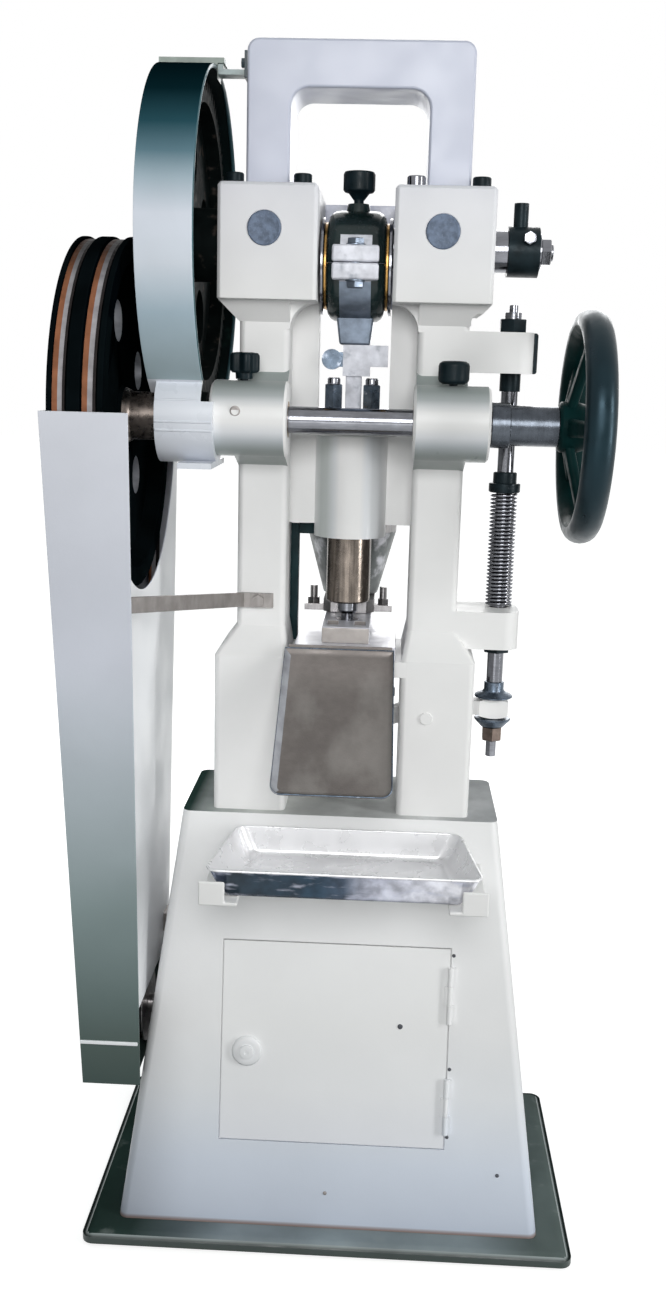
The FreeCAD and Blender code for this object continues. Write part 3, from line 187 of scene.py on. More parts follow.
def set_stage():
    """Pale floor that shows white, whiter still far off, and keeps the shadow."""
    bpy.ops.mesh.primitive_plane_add(size=30, location=(0, 4, -0.0005))
    floor = bpy.context.active_object
    floor.name = "floor"
    bpy.ops.object.transform_apply(location=True)
    material, tree, shader = new_material("floor")
    shader.inputs["Roughness"].default_value = 0.9
    shader.inputs["Specular IOR Level"].default_value = 0.0
    shader.inputs["Emission Color"].default_value = (1, 1, 1, 1)
    direct = seen_directly(tree)
    tone = mixed(tree, direct, (0.16, 0.165, 0.165), (0.55, 0.55, 0.55))
    tree.links.new(tone, shader.inputs["Base Color"])
    away = tree.nodes.new("ShaderNodeVectorMath")
    away.operation = "LENGTH"
    tree.links.new(place_on(tree), away.inputs[0])
    glow = moved_range(tree, away.outputs["Value"], 0.4, 1.6, 0.72, 1.0)
    tree.links.new(reckoned(tree, "MULTIPLY", glow, direct), shader.inputs["Emission Strength"])
    floor.data.materials.append(material)


def add_lamp(name, place, target, size, power):
    """Area lamp of a width and height that points at a target."""
    data = bpy.data.lights.new(name, "AREA")
    data.shape = "RECTANGLE"
    data.size, data.size_y = size
    data.energy = power
    lamp = bpy.data.objects.new(name, data)
    lamp.location = place
    lamp.rotation_euler = (Vector(target) - Vector(place)).to_track_quat("-Z", "Y").to_euler()
    bpy.context.scene.collection.objects.link(lamp)


def set_lights():
    """Soft light from the front, from both sides and from behind, and a white room."""
    add_lamp("key", (0.15, -2.4, 1.75), (0, 0, 0.75), (1.1, 1.0), 33)
    add_lamp("low", (-0.3, -2.5, 0.45), (0, 0, 0.5), (1.2, 0.6), 3.5)
    add_lamp("right", (2.7, -1.3, 1.25), (0, 0, 0.95), (0.5, 2.0), 44)
    add_lamp("left", (-2.6, 1.4, 1.5), (0, 0, 0.9), (1.4, 1.4), 13)
    add_lamp("back", (0.4, 2.8, 2.0), (0, 0, 0.9), (2.0, 2.0), 46)
    world = bpy.data.worlds.new("world")
    world.use_nodes = True
    tree = world.node_tree
    room = tree.nodes["Background"]
    direct = seen_directly(tree)
    tree.links.new(mixed(tree, direct, (0.86, 1, 0.96), (1, 1, 1)), room.inputs["Color"])
    tree.links.new(moved_range(tree, direct, 0.0, 1.0, 0.17, 1.0), room.inputs["Strength"])
    bpy.context.scene.world = world
    bpy.context.scene.view_settings.view_transform = "Standard"


set_camera()
set_stage()
set_lights()

# ---------------- finishes
FINISHES = {}


def new_finish(name, colour, rough, metal=0.0, coat=0.0, fade=None, crisp=False, shade=(10, 0.12), lines=None,
               stain=None, grain=(240, 0.05), gloss=0.5, dim=None, tint=None):
    """Finish with its own colour, clouding, brushed lines, stains and grain.

    fade is (axis, span in mm, stops) for a colour that changes along an axis, in steps if crisp; dim is
    (axis, span, low, high) for a second change of strength; shade is the scale and depth of the clouding;
    lines is the stretch and depth of brushed lines; stain is (scale, stretch, colour, threshold, strength);
    grain is the scale and height of the fine relief; gloss is the strength of the shine and tint its colour.
    """
    material, tree, shader = new_material(name)
    for socket, value in (("Metallic", metal), ("Coat Weight", coat), ("Coat Roughness", 0.1),
                          ("Specular IOR Level", gloss), ("Specular Tint", (*(tint or (1, 1, 1)), 1))):
        shader.inputs[socket].default_value = value
    if fade:
        axis, span, stops = fade
        base = tones(tree, along_axis(tree, axis, span), stops, crisp)
    else:
        base = mixed(tree, 0.0, colour, colour)
    if dim:
        axis, span, low, high = dim
        base = shaded(tree, base, patches(tree, along_axis(tree, axis, span), 0, 1, low, high))
    scale, depth = shade
    base = shaded(tree, base, patches(tree, cloud(tree, scale), 0.22, 0.78, 1 - depth, 1 + depth / 3))
    if lines:
        stretch, depth = lines
        base = shaded(tree, base, patches(tree, cloud(tree, 1.0, stretch, 3.0), 0.3, 0.7, 1 - depth, 1 + depth))
    if stain:
        size, stretch, mark, threshold, strength = stain
        spots = patches(tree, cloud(tree, size, stretch), threshold, threshold + 0.2, 0, strength)
        base = mixed(tree, spots, base, mark)
    tree.links.new(base, shader.inputs["Base Color"])
    polish = patches(tree, cloud(tree, scale * 3), 0.3, 0.7, rough * 0.8, rough * 1.2)
    tree.links.new(polish, shader.inputs["Roughness"])
    relief = tree.nodes.new("ShaderNodeBump")
    relief.inputs["Strength"].default_value = grain[1]
    relief.inputs["Distance"].default_value = 0.001
    tree.links.new(cloud(tree, grain[0]), relief.inputs["Height"])
    tree.links.new(relief.outputs["Normal"], shader.inputs["Normal"])
    FINISHES[name] = material


WHITE = (0.84, 0.835, 0.83)
# LILAC is the lilac-grey that the white paint takes in shade, used as painted shade.
LILAC = (0.53, 0.555, 0.66)
# Base front, coloured by height; the lighter band near the top edge is a painted highlight along the rounded
# upper rim.
new_finish("base_paint", None, 0.42, fade=("Z", (0, 18), [(0.0, 0.13, 0.045, 0.03), (0.14, 0.10, 0.05, 0.04),
    (0.25, 0.02, 0.035, 0.03), (0.72, 0.03, 0.045, 0.042), (0.84, 0.30, 0.34, 0.34), (1.0, 0.20, 0.24, 0.25)]),
    shade=(9, 0.3), grain=(160, 0.12))
# Base top: painted shade, darkest at the left end, darker towards the right end and lightest in the middle.
new_finish("base_top_paint", None, 0.5, fade=("X", (-318, 318), [(0.0, 0.022, 0.042, 0.036),
    (0.10, 0.03, 0.05, 0.045), (0.20, 0.12, 0.15, 0.16), (0.32, 0.26, 0.305, 0.33), (0.80, 0.25, 0.295, 0.31),
    (0.93, 0.10, 0.125, 0.12), (1.0, 0.10, 0.125, 0.12)]), shade=(9, 0.3),
    stain=(30, None, (0.26, 0.29, 0.28), 0.6, 0.3), grain=(160, 0.12), gloss=0.0)
# Pedestal: painted shade, darker and bluer towards the bottom down to a brownish line at the foot, and darker
# towards the left end.
new_finish("cabinet_paint", None, 0.40, fade=("Z", (18, 563), [(0.0, 0.24, 0.17, 0.15),
    (0.006, 0.30, 0.25, 0.25), (0.011, 0.55, 0.60, 0.70), (0.16, 0.66, 0.71, 0.80), (0.34, 0.80, 0.815, 0.84),
    (0.5, 0.83, 0.83, 0.835), (1.0, 0.83, 0.83, 0.83)]), shade=(5, 0.07), grain=(300, 0.08),
    dim=("X", (-290, -175), 0.62, 1.0))
# Door: painted shade, bluer and darker towards the bottom.
new_finish("door_paint", None, 0.38, fade=("Z", (18, 563), [(0.0, 0.72, 0.745, 0.84), (0.16, 0.78, 0.795, 0.85),
    (0.34, 0.84, 0.845, 0.86), (0.5, 0.85, 0.85, 0.85), (1.0, 0.85, 0.85, 0.85)]), shade=(5, 0.05),
    grain=(300, 0.07))
# Pedestal's top ledge: painted shade, near black at the left end, lightest in the middle and darker towards the
# right end.
new_finish("ledge_paint", None, 0.5, fade=("X", (-203, 203), [(0.0, 0.02, 0.045, 0.038),
    (0.02, 0.03, 0.055, 0.048), (0.06, 0.28, 0.31, 0.30), (0.24, 0.62, 0.64, 0.62), (0.8, 0.66, 0.67, 0.67),
    (0.9, 0.48, 0.49, 0.50), (1.0, 0.40, 0.41, 0.42)]), shade=(22, 0.25), grain=(200, 0.2), gloss=0.0)
# Frame: painted shade, from white to lilac-grey towards the top, over the bearing blocks.
new_finish("frame_paint", None, 0.5, fade=("Z", (560, 1500), [(0.0, *WHITE), (0.68, *WHITE),
    (0.80, 0.79, 0.79, 0.82), (1.0, *LILAC)]), shade=(7, 0.05), grain=(120, 0.08), gloss=0.2)
# Bosses: painted shade, dark grey-green above and below, white in the middle as on a round lit from the front;
# the dark reaches onto the upright below them.
new_finish("boss_painted_shade", None, 0.34, fade=("Z", (1000, 1120), [(0.0, 0.62, 0.63, 0.63),
    (0.06, 0.33, 0.37, 0.355), (0.22, 0.34, 0.38, 0.37), (0.32, 0.52, 0.555, 0.58), (0.40, 0.74, 0.755, 0.78),
    (0.50, *WHITE), (0.64, *WHITE), (0.70, 0.68, 0.69, 0.70), (0.76, 0.44, 0.47, 0.475),
    (0.84, 0.33, 0.365, 0.36), (1.0, 0.31, 0.35, 0.34)]), shade=(7, 0.05), grain=(120, 0.08), gloss=0.3)
# Barrel: painted shade, darker towards both sides, white in the middle and pale at the very edges.
new_finish("barrel_painted_shade", None, 0.34, fade=("X", (-46, 46), [(0.0, 0.78, 0.79, 0.79), (0.10, 0.52, 0.55, 0.54),
    (0.18, 0.52, 0.55, 0.54), (0.28, 0.70, 0.72, 0.735), (0.36, *WHITE), (0.64, *WHITE),
    (0.72, 0.72, 0.735, 0.76), (0.80, 0.55, 0.565, 0.58), (0.90, 0.52, 0.53, 0.54), (1.0, 0.80, 0.80, 0.80)]),
    shade=(7, 0.05), grain=(120, 0.08), gloss=0.3)
# Arch: all in the lilac-grey shade tone of the white paint, as painted shade.
new_finish("arch_paint", LILAC, 0.42, coat=0.1, shade=(6, 0.05), grain=(120, 0.08))
# Gear guard: painted reflection and shade, near black at the top, pale in the middle and slate blue below.
new_finish("guard_paint", None, 0.42, fade=("Z", (1107, 1477), [(0.0, 0.42, 0.52, 0.55),
    (0.2, 0.46, 0.58, 0.66), (0.34, 0.70, 0.75, 0.82), (0.48, 0.72, 0.76, 0.84), (0.58, 0.42, 0.52, 0.59),
    (0.66, 0.13, 0.23, 0.28), (0.75, 0.025, 0.085, 0.11), (0.86, 0.003, 0.020, 0.027),
    (1.0, 0.001, 0.010, 0.013)]), shade=(6, 0.12), grain=(300, 0.06), gloss=0.0)
# Inside of the gear guard: near black, as painted shade.
new_finish("guard_inside", (0.005, 0.012, 0.012), 0.55, shade=(15, 0.5),
    stain=(30, None, (0.02, 0.05, 0.04), 0.58, 0.6), gloss=0.05)
new_finish("pinion_guard_paint", (0.74, 0.77, 0.83), 0.30, coat=0.1, shade=(8, 0.08))
new_finish("lip_paint", (0.05, 0.12, 0.14), 0.35, shade=(12, 0.3), gloss=0.3)
# Belt guard: painted shade, darker towards the bottom.
new_finish("belt_guard_paint", None, 0.42, fade=("Z", (212, 1073), [(0.0, 0.055, 0.085, 0.078),
    (0.07, 0.085, 0.12, 0.11), (0.15, 0.14, 0.19, 0.185), (0.30, 0.27, 0.34, 0.345), (0.48, 0.48, 0.54, 0.58),
    (0.68, 0.68, 0.705, 0.785), (1.0, 0.74, 0.755, 0.82)]), shade=(5, 0.10), grain=(300, 0.08), gloss=0.2)
# Belt guard's side plate, top fold and seam strip: paler than the guard's front, as painted light.
new_finish("side_plate_paint", (0.93, 0.945, 0.97), 0.4, shade=(5, 0.06))
new_finish("black_paint", (0.003, 0.005, 0.006), 0.42, shade=(20, 0.4),
    stain=(26, (1, 1, 1), (0.03, 0.04, 0.045), 0.66, 0.3), gloss=0.0)
new_finish("wheel_gloss", (0.001, 0.007, 0.009), 0.34, shade=(20, 0.4),
    stain=(18, None, (0.01, 0.03, 0.035), 0.62, 0.4), gloss=0.34, tint=(0.5, 0.8, 1.0))
new_finish("wheel_web", (0.003, 0.022, 0.022), 0.45, shade=(26, 0.5),
    stain=(40, None, (0.03, 0.06, 0.055), 0.60, 0.5), gloss=0.04)
new_finish("hub_steel", (0.17, 0.145, 0.13), 0.3, metal=1.0, shade=(40, 0.3), lines=((500, 20, 20), 0.06))
new_finish("wheel_side", (0.001, 0.002, 0.003), 0.5, shade=(20, 0.4),
    stain=(26, None, (0.016, 0.03, 0.03), 0.58, 0.5), gloss=0.0)
new_finish("green_paint", (0.008, 0.020, 0.020), 0.24, coat=0.2, shade=(26, 0.5),
    stain=(45, None, (0.16, 0.19, 0.21), 0.62, 0.6), gloss=0.2)
new_finish("strap_steel", (0.20, 0.24, 0.30), 0.36, metal=0.7, shade=(50, 0.45),
    stain=(60, None, (0.55, 0.57, 0.64), 0.64, 0.7), grain=(300, 0.2), gloss=0.2)
new_finish("ear_steel", (0.72, 0.73, 0.79), 0.5, metal=0.1, shade=(50, 0.3),
    stain=(55, None, (0.16, 0.19, 0.23), 0.58, 0.6), grain=(300, 0.2), gloss=0.2)
new_finish("machined_steel", (0.33, 0.32, 0.32), 0.33, metal=1.0, shade=(45, 0.25), lines=((900, 60, 60), 0.10),
    grain=(500, 0.08))
new_finish("turned_steel", (0.075, 0.085, 0.10), 0.25, metal=1.0, shade=(60, 0.3), lines=((500, 20, 20), 0.06),
    grain=(500, 0.04))
new_finish("bright_steel", (0.20, 0.205, 0.225), 0.14, metal=1.0, shade=(40, 0.2), lines=((60, 60, 500), 0.08),
    grain=(500, 0.05))
new_finish("ram_steel", (0.17, 0.145, 0.125), 0.24, metal=1.0, shade=(40, 0.3), lines=((240, 240, 20), 0.3),
    grain=(400, 0.1))
new_finish("dark_steel", (0.010, 0.018, 0.022), 0.36, metal=0.2, shade=(60, 0.5),
    stain=(90, None, (0.20, 0.22, 0.25), 0.66, 0.5), gloss=0.1)
new_finish("blue_steel", (0.10, 0.13, 0.17), 0.32, metal=0.8, shade=(90, 0.5),
    stain=(110, None, (0.5, 0.54, 0.62), 0.60, 0.7))
new_finish("brown_steel", (0.13, 0.10, 0.085), 0.35, metal=0.8, shade=(90, 0.4),
    stain=(120, None, (0.4, 0.37, 0.35), 0.64, 0.5))
# Chute: up to 1.6 times lighter towards its upper end, a painted highlight.
new_finish("chute_steel", (0.155, 0.140, 0.132), 0.46, metal=0.35, shade=(11, 0.22),
    lines=((90, 120, 120), 0.05), stain=(14, (1, 0.7, 0.7), (0.29, 0.275, 0.26), 0.45, 0.5), grain=(420, 0.3),
    gloss=0.2, dim=("Z", (722, 762), 1.0, 1.6))
# Pale steel, used as painted highlight on the walls of the flywheel's holes and on the chute's left rim.
new_finish("chute_rim", (0.34, 0.35, 0.38), 0.35, metal=0.4, shade=(40, 0.35))
new_finish("zinc_steel", (0.28, 0.26, 0.25), 0.42, metal=0.35, shade=(40, 0.2), lines=((200, 40, 40), 0.12))
new_finish("stay_pad", (0.36, 0.42, 0.38), 0.45, shade=(50, 0.3))
# Dark blue-grey of the stay's tab on the arch: painted shade.
new_finish("tab_steel", (0.045, 0.07, 0.085), 0.4, shade=(50, 0.3))
new_finish("stay_bar", (0.42, 0.50, 0.50), 0.4, shade=(60, 0.35))
new_finish("chrome_plate", (0.80, 0.80, 0.815), 0.30, metal=0.3, shade=(14, 0.08),
    stain=(38, None, (0.55, 0.54, 0.62), 0.64, 0.5), grain=(200, 0.05))
# Chrome front of the tray: painted reflection, dark blue on the left and pale on the right.
new_finish("tray_front", None, 0.2, metal=0.5, fade=("X", (-140, 165), [(0.0, 0.10, 0.12, 0.18),
    (0.06, 0.02, 0.035, 0.05), (0.4, 0.02, 0.05, 0.085), (0.5, 0.06, 0.09, 0.14), (0.60, 0.52, 0.54, 0.64),
    (1.0, 0.82, 0.82, 0.87)]), shade=(60, 0.5), stain=(60, (0.5, 1, 2), (0.45, 0.47, 0.57), 0.50, 0.8),
    grain=(200, 0.05))
new_finish("iron", (0.010, 0.014, 0.014), 0.45, metal=0.1, shade=(30, 0.5),
    stain=(60, None, (0.13, 0.10, 0.085), 0.56, 0.6), gloss=0.0)
new_finish("bronze", (0.38, 0.22, 0.07), 0.28, metal=1.0, shade=(50, 0.3),
    stain=(60, None, (0.7, 0.55, 0.35), 0.62, 0.6))
new_finish("black_plastic", (0.006, 0.014, 0.018), 0.36, shade=(50, 0.4), grain=(500, 0.15), gloss=0.12)
new_finish("plug_plastic", (0.155, 0.20, 0.285), 0.5, shade=(160, 0.4),
    stain=(420, None, (0.30, 0.36, 0.46), 0.58, 0.6), grain=(600, 0.3), gloss=0.2)
# Belts: crisp orange and pale stripes across the width; the darkening towards the top of the flywheel is painted
# shade.
new_finish("belt_rubber", None, 0.55, fade=("X", (-312, -262), [(0.0, 0.03, 0.025, 0.025),
    (0.03, 0.31, 0.125, 0.065), (0.15, 0.42, 0.40, 0.42), (0.25, 0.03, 0.025, 0.025),
    (0.67, 0.31, 0.125, 0.065), (0.79, 0.42, 0.40, 0.42), (0.90, 0.03, 0.025, 0.025)]), crisp=True,
    shade=(70, 0.3), grain=(600, 0.2), gloss=0.05, dim=("Z", (1195, 1262), 1.0, 0.08))
new_finish("motor_paint", (0.065, 0.095, 0.105), 0.4, shade=(10, 0.2))
new_finish("cover_lilac", (0.58, 0.60, 0.72), 0.3, shade=(30, 0.2),
    stain=(45, None, (0.80, 0.80, 0.84), 0.55, 0.7))
new_finish("funnel_steel", (0.13, 0.14, 0.14), 0.4, metal=0.6, shade=(30, 0.5),
    stain=(38, None, (0.62, 0.62, 0.66), 0.5, 0.8))
new_finish("table_steel", (0.62, 0.62, 0.67), 0.35, metal=0.25, shade=(24, 0.2),
    stain=(50, None, (0.34, 0.35, 0.44), 0.55, 0.6))
new_finish("seam_steel", (0.33, 0.305, 0.29), 0.4, metal=0.4, shade=(60, 0.2))
# Dark green-black for the painted shadow bar behind the left upright.
new_finish("shadow_dark", (0.012, 0.035, 0.04), 0.4, shade=(40, 0.5), gloss=0.1)
new_finish("mark", (0.05, 0.055, 0.07), 0.5, shade=(200, 0.5))


def paint(piece, finish):
    """Gives a piece one finish all over."""
    piece.data.materials.clear()
    piece.data.materials.append(FINISHES[finish])


def repaint(piece, finish, wanted):
    """Gives the faces that a test picks by centre (mm) and normal another finish."""
    piece.data.materials.append(FINISHES[finish])
    number = len(piece.data.materials) - 1
    for face in piece.data.polygons:
        if wanted(face.center / MM, face.normal):
            face.material_index = number


for node, part in nodes.items():
    paint(part, SLOT_OF[node])

# ---------------- workshop operations
ALONG = {"X": Vector((1, 0, 0)), "Y": Vector((0, 1, 0)), "Z": Vector((0, 0, 1))}
TURN = {"X": (0, math.pi / 2, 0), "Y": (-math.pi / 2, 0, 0), "Z": (0, 0, 0)}
SIDES = 48                            # sides of a turned piece
DOUBLES = 0.002 * MM                  # points this close are one
FLAT = math.radians(0.4)              # faces this level are one
SHARP_EDGE = math.radians(32)
SMOOTH_UP_TO = math.radians(48)


def at(axis, along, centre):
    """Point in metres at a distance along an axis, with the two other coordinates in centre."""
    order = {"X": (along, *centre), "Y": (centre[0], along, centre[1]), "Z": (*centre, along)}
    return Vector(order[axis]) * MM


def from_axis(point, axis, centre):
    """Vector from an axis out to a point in metres."""
    return point - at(axis, point.dot(ALONG[axis]) / MM, centre)


def from_drive(c):
    """Distance from the drive shaft's axis to a point, both in mm."""
    return math.hypot(c.y - DRIVE[0], c.z - DRIVE[1])


def take(*pieces):
    """Selects these pieces alone, the first of them active."""
    bpy.ops.object.select_all(action="DESELECT")
    for piece in pieces:
        piece.select_set(True)
    bpy.context.view_layer.objects.active = pieces[0]


def open_mesh():
    """Opens the active piece for editing, with all of it selected."""
    bpy.ops.object.mode_set(mode="EDIT")
    bpy.ops.mesh.select_all(action="SELECT")


def close_mesh():
    """Ends the editing of the active piece."""
    bpy.ops.object.mode_set(mode="OBJECT")


def settled(name):
    """The new primitive, named, with its place in its mesh."""
    piece = bpy.context.active_object
    piece.name = name
    bpy.ops.object.transform_apply(location=True, rotation=True, scale=True)
    return piece


def cut_level(z, above):
    """Keeps the active piece above or below a level, its cut closed."""
    open_mesh()
    bpy.ops.mesh.bisect(plane_co=(0, 0, z * MM), plane_no=(0, 0, 1), use_fill=True, clear_inner=above,
                        clear_outer=not above)
    close_mesh()


def weld():
    """Merges doubles and turns the faces outwards; leaves edit mode."""
    bpy.ops.mesh.select_all(action="SELECT")
    bpy.ops.mesh.remove_doubles(threshold=DOUBLES)
    bpy.ops.mesh.normals_make_consistent(inside=False)
    close_mesh()


def apply_modifier(piece, name, kind, **settings):
    """Adds a modifier with its settings to the active piece and applies it."""
    modifier = piece.modifiers.new(name, kind)
    for setting, value in settings.items():
        setattr(modifier, setting, value)
    bpy.ops.object.modifier_apply(modifier=name)


def round_edges(piece, width, steps=2):
    """Rounds the sharp edges of a piece and shades it smooth."""
    take(piece)
    if width:
        apply_modifier(piece, "edges", "BEVEL", width=width * MM, segments=steps, limit_method="ANGLE",
                       angle_limit=SHARP_EDGE)
    bpy.ops.object.shade_smooth_by_angle(angle=SMOOTH_UP_TO)
    apply_modifier(piece, "even", "WEIGHTED_NORMAL", keep_sharp=True)
    return piece


def turned(name, axis, profile, centre=(0, 0), sides=SIDES, width=0.0):
    """Piece turned from (radius, place along the axis) points; a profile that ends where it starts has a bore."""
    bored = profile[0] == profile[-1]
    radius, along = profile[0]
    bpy.ops.mesh.primitive_circle_add(vertices=sides, radius=radius * MM,
                                      fill_type="NOTHING" if bored else "NGON",
                                      location=at(axis, along, centre), rotation=TURN[axis])
    piece = settled(name)
    open_mesh()
    for next_radius, next_along in profile[1:]:
        shift = ALONG[axis] * (next_along - along) * MM
        bpy.ops.mesh.extrude_region_move(TRANSFORM_OT_translate={"value": shift})
        scale = next_radius / radius
        bpy.ops.transform.resize(value=(scale, scale, scale), center_override=at(axis, next_along, centre))
        radius, along = next_radius, next_along
    weld()
    return round_edges(piece, width)


def block(name, x, y, z):
    """Block between the ends of each pair, still to be shaped."""
    middle = [(pair[0] + pair[1]) / 2 * MM for pair in (x, y, z)]
    size = [(pair[1] - pair[0]) * MM for pair in (x, y, z)]
    bpy.ops.mesh.primitive_cube_add(size=1, location=middle, scale=size)
    return settled(name)


def shifted(piece, name, shift=(0, 0, 0), turn=None):
    """Copy of a piece with its own mesh, moved in mm or turned by a matrix."""
    copy = bpy.data.objects.new(name, piece.data.copy())
    bpy.context.scene.collection.objects.link(copy)
    copy.data.transform(turn if turn else Matrix.Translation(Vector(shift) * MM))
    return copy


def turned_about(axis, angle, centre):
    """Matrix that turns about an axis through a centre given by the two other coordinates."""
    pin = at(axis, 0, centre)
    return Matrix.Translation(pin) @ Matrix.Rotation(angle, 4, axis) @ Matrix.Translation(-pin)


def ring_of(piece, count, axis, centre, first=0.0):
    """A piece and its copies, evenly spaced round an axis, joined into one."""
    copies = [shifted(piece, piece.name, turn=turned_about(axis, first + 2 * math.pi * i / count, centre))
              for i in range(count)]
    bpy.data.objects.remove(piece)
    return joined(*copies)


def joined(*pieces):
    """Several pieces as one object."""
    take(*pieces)
    bpy.ops.object.join()
    return bpy.context.active_object


def add_on(piece, name, node, finish):
    """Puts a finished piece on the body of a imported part."""
    piece.name = name
    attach(piece, BODY_OF[node])
    if not piece.data.materials:
        paint(piece, finish)
    return piece


def fit(piece, name, node):
    """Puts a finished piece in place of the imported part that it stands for."""
    add_on(piece, name, node, SLOT_OF[node])
    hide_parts(node)
    return piece


def rounded(node, width):
    """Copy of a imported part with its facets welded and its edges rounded, in its place."""
    piece = bpy.data.objects.new(node, nodes[node].data.copy())
    bpy.context.scene.collection.objects.link(piece)
    take(piece)
    bpy.ops.mesh.customdata_custom_splitnormals_clear()
    open_mesh()
    bpy.ops.mesh.remove_doubles(threshold=DOUBLES)
    bpy.ops.mesh.dissolve_limited(angle_limit=FLAT)
    close_mesh()
    return fit(round_edges(piece, width), node + "_rounded", node)


# ---------------- castings, sheets and shafts
EDGES = {
    "pedestal": 1.5, "door": 0.8, "door_hinges": 0.4, "cable_gland": 0.6, "motor": 0.8,
    "column_frame": 2.5, "bearing_block_left": 1.2, "bearing_block_right": 1.2, "rear_cover": 0.8,
    "top_arch": 3.5, "gear_guard": 0.6, "pinion_guard": 0.8, "belt_guard": 0.6, "belt_guard_lower_cover": 0.6,
    "guard_stays": 0.8, "v_belts": 0.5, "die_table": 1.0, "die_block": 0.8, "die": 0.4, "hopper": 0.3,
    "hopper_funnel": 0.3, "hopper_plate": 0.6, "feed_shoe": 1.2, "rod_bushes": 0.8, "rod_guide_cap": 1.0,
    "lever_pivot_pin": 0.8, "ram_bush": 0.3, "shaft_bushes": 0.3, "crankshaft": 0.8, "bull_gear": 0.5,
    "lift_cam": 1.6, "drive_shaft": 1.0, "pinion": 0.4, "flywheel": 0.9, "shaft_sleeve": 0.8,
    "motor_pulley": 0.5, "big_end_liner": 0.5, "con_rod_clamp": 2.0,
    "ram": 0.8, "upper_punch": 0.5, "lift_rod": 0.5, "lift_lever": 1.6, "lower_punch": 0.5,
    "ejection_regulator": 0.8, "weight_regulator": 0.8, "tray_brackets": 2.0,
}
rounded_parts = {node: rounded(node, width) for node, width in EDGES.items()}

EXTRA_FINISH = {
    "door": "door_paint", "top_arch": "arch_paint", "pinion_guard": "pinion_guard_paint",
    "rear_cover": "cover_lilac", "rod_bushes": "dark_steel", "con_rod_clamp": "ear_steel",
    "hopper_funnel": "funnel_steel", "die_table": "table_steel", "die_block": "table_steel",
    "shaft_sleeve": "turned_steel", "ram": "ram_steel",
}
for node, finish in EXTRA_FINISH.items():
    paint(rounded_parts[node], finish)


def in_guard(c, n):
    """Inside of the gear guard's drum, and its end wall's inner face, which get the painted shade of
    guard_inside.
    """
    return math.hypot(c.y, c.z - SHAFT_Z) < GUARD_R - 2 and c.x > -237 and (n.x > 0.5 or abs(n.x) < 0.5)


def on_bosses(c, n):
    """Round bosses of the drive shaft and the arms behind them, which get the painted shade."""
    arm = c.y > DRIVE[0] and abs(n.z) > 0.7 and 1000 < c.z < 1124
    return 76 < abs(c.x) < 168 and c.y > -136 and abs(n.x) < 0.6 and (from_drive(c) < BOSS_R + 1.5 or arm)


for node, finish, wanted in (
        # The side plate gets the paler finish, as painted light.
        ("belt_guard", "side_plate_paint", lambda c, n: -249.6 < c.x < -247.4 and abs(n.x) > 0.7),
        ("gear_guard", "guard_inside", in_guard),
        # The barrel and the bosses of the frame get painted shade.
        ("column_frame", "barrel_painted_shade", lambda c, n: c.z < 1044 and abs(math.hypot(c.x, c.y) - BARREL_R) < 2),
        ("column_frame", "boss_painted_shade", on_bosses),
        ("die_block", "seam_steel", lambda c, n: n.y < -0.8),
        ("con_rod_clamp", "blue_steel", lambda c, n: c.x < -14.2),
        ("flywheel", "wheel_side", lambda c, n: n.x > 0.9 and from_drive(c) > HUB_R),
        # Walls of the holes in the flywheel's web: painted pale as painted highlight.
        ("flywheel", "chute_rim", lambda c, n: abs(n.x) < 0.3 and -290 < c.x < -276.5
            and 84 < from_drive(c) < 140),
        ("flywheel", "hub_steel", lambda c, n: from_drive(c) < HUB_R and c.x > -275 and abs(n.x) < 0.7),
        # The ledge gets the painted shade of ledge_paint.
        ("pedestal", "ledge_paint", lambda c, n: n.z > 0.9 and c.z > 555),
        ("guard_stays", "stay_pad", lambda c, n: c.z > 1440 and (c.x < -166 or c.x > -140)),
        ("guard_stays", "stay_bar", lambda c, n: c.z > 1440 and -166 <= c.x <= -140)):
    repaint(rounded_parts[node], finish, wanted)


def base():
    """Heavy base plate with round corners and a bevelled upper rim."""
    plate = block("plate", (-318, 318), (-200, 200), (0, 18))
    take(plate)
    for edge in plate.data.edges:
        low, high = sorted(plate.data.vertices[number].co.z for number in edge.vertices)
        edge.select = high > low
    for face in plate.data.polygons:
        face.select = False
    bpy.ops.object.mode_set(mode="EDIT")
    bpy.ops.mesh.select_mode(type="EDGE")
    bpy.ops.mesh.bevel(offset=15 * MM, segments=8)
    close_mesh()
    plate = fit(round_edges(plate, 2.4, 3), "base_casting", "base_plate")
    # The top face of the base gets the painted shade of base_top_paint.
    repaint(plate, "base_top_paint", lambda c, n: n.z > 0.8 and c.z > 15)


RIM_SPREAD = ((-400, -404), (-312, -316), (-297, -310.5), (-284, -296.5), (-271, -278.5), (-258, -263.5),
              (-251, -255), (-200, -204))


def spread_grooves(piece, centre, inner):
    """Moves the belts and grooves outside a radius apart, along the shaft."""
    for vertex in piece.data.vertices:
        x, y, z = vertex.co / MM
        if math.hypot(y - centre[0], z - centre[1]) < inner:
            continue
        for (low, new_low), (high, new_high) in zip(RIM_SPREAD, RIM_SPREAD[1:]):
            if low <= x < high:
                vertex.co.x = (new_low + (new_high - new_low) * (x - low) / (high - low)) * MM
                break


spread_grooves(rounded_parts["flywheel"], DRIVE, 179)
spread_grooves(rounded_parts["v_belts"], DRIVE, 0)


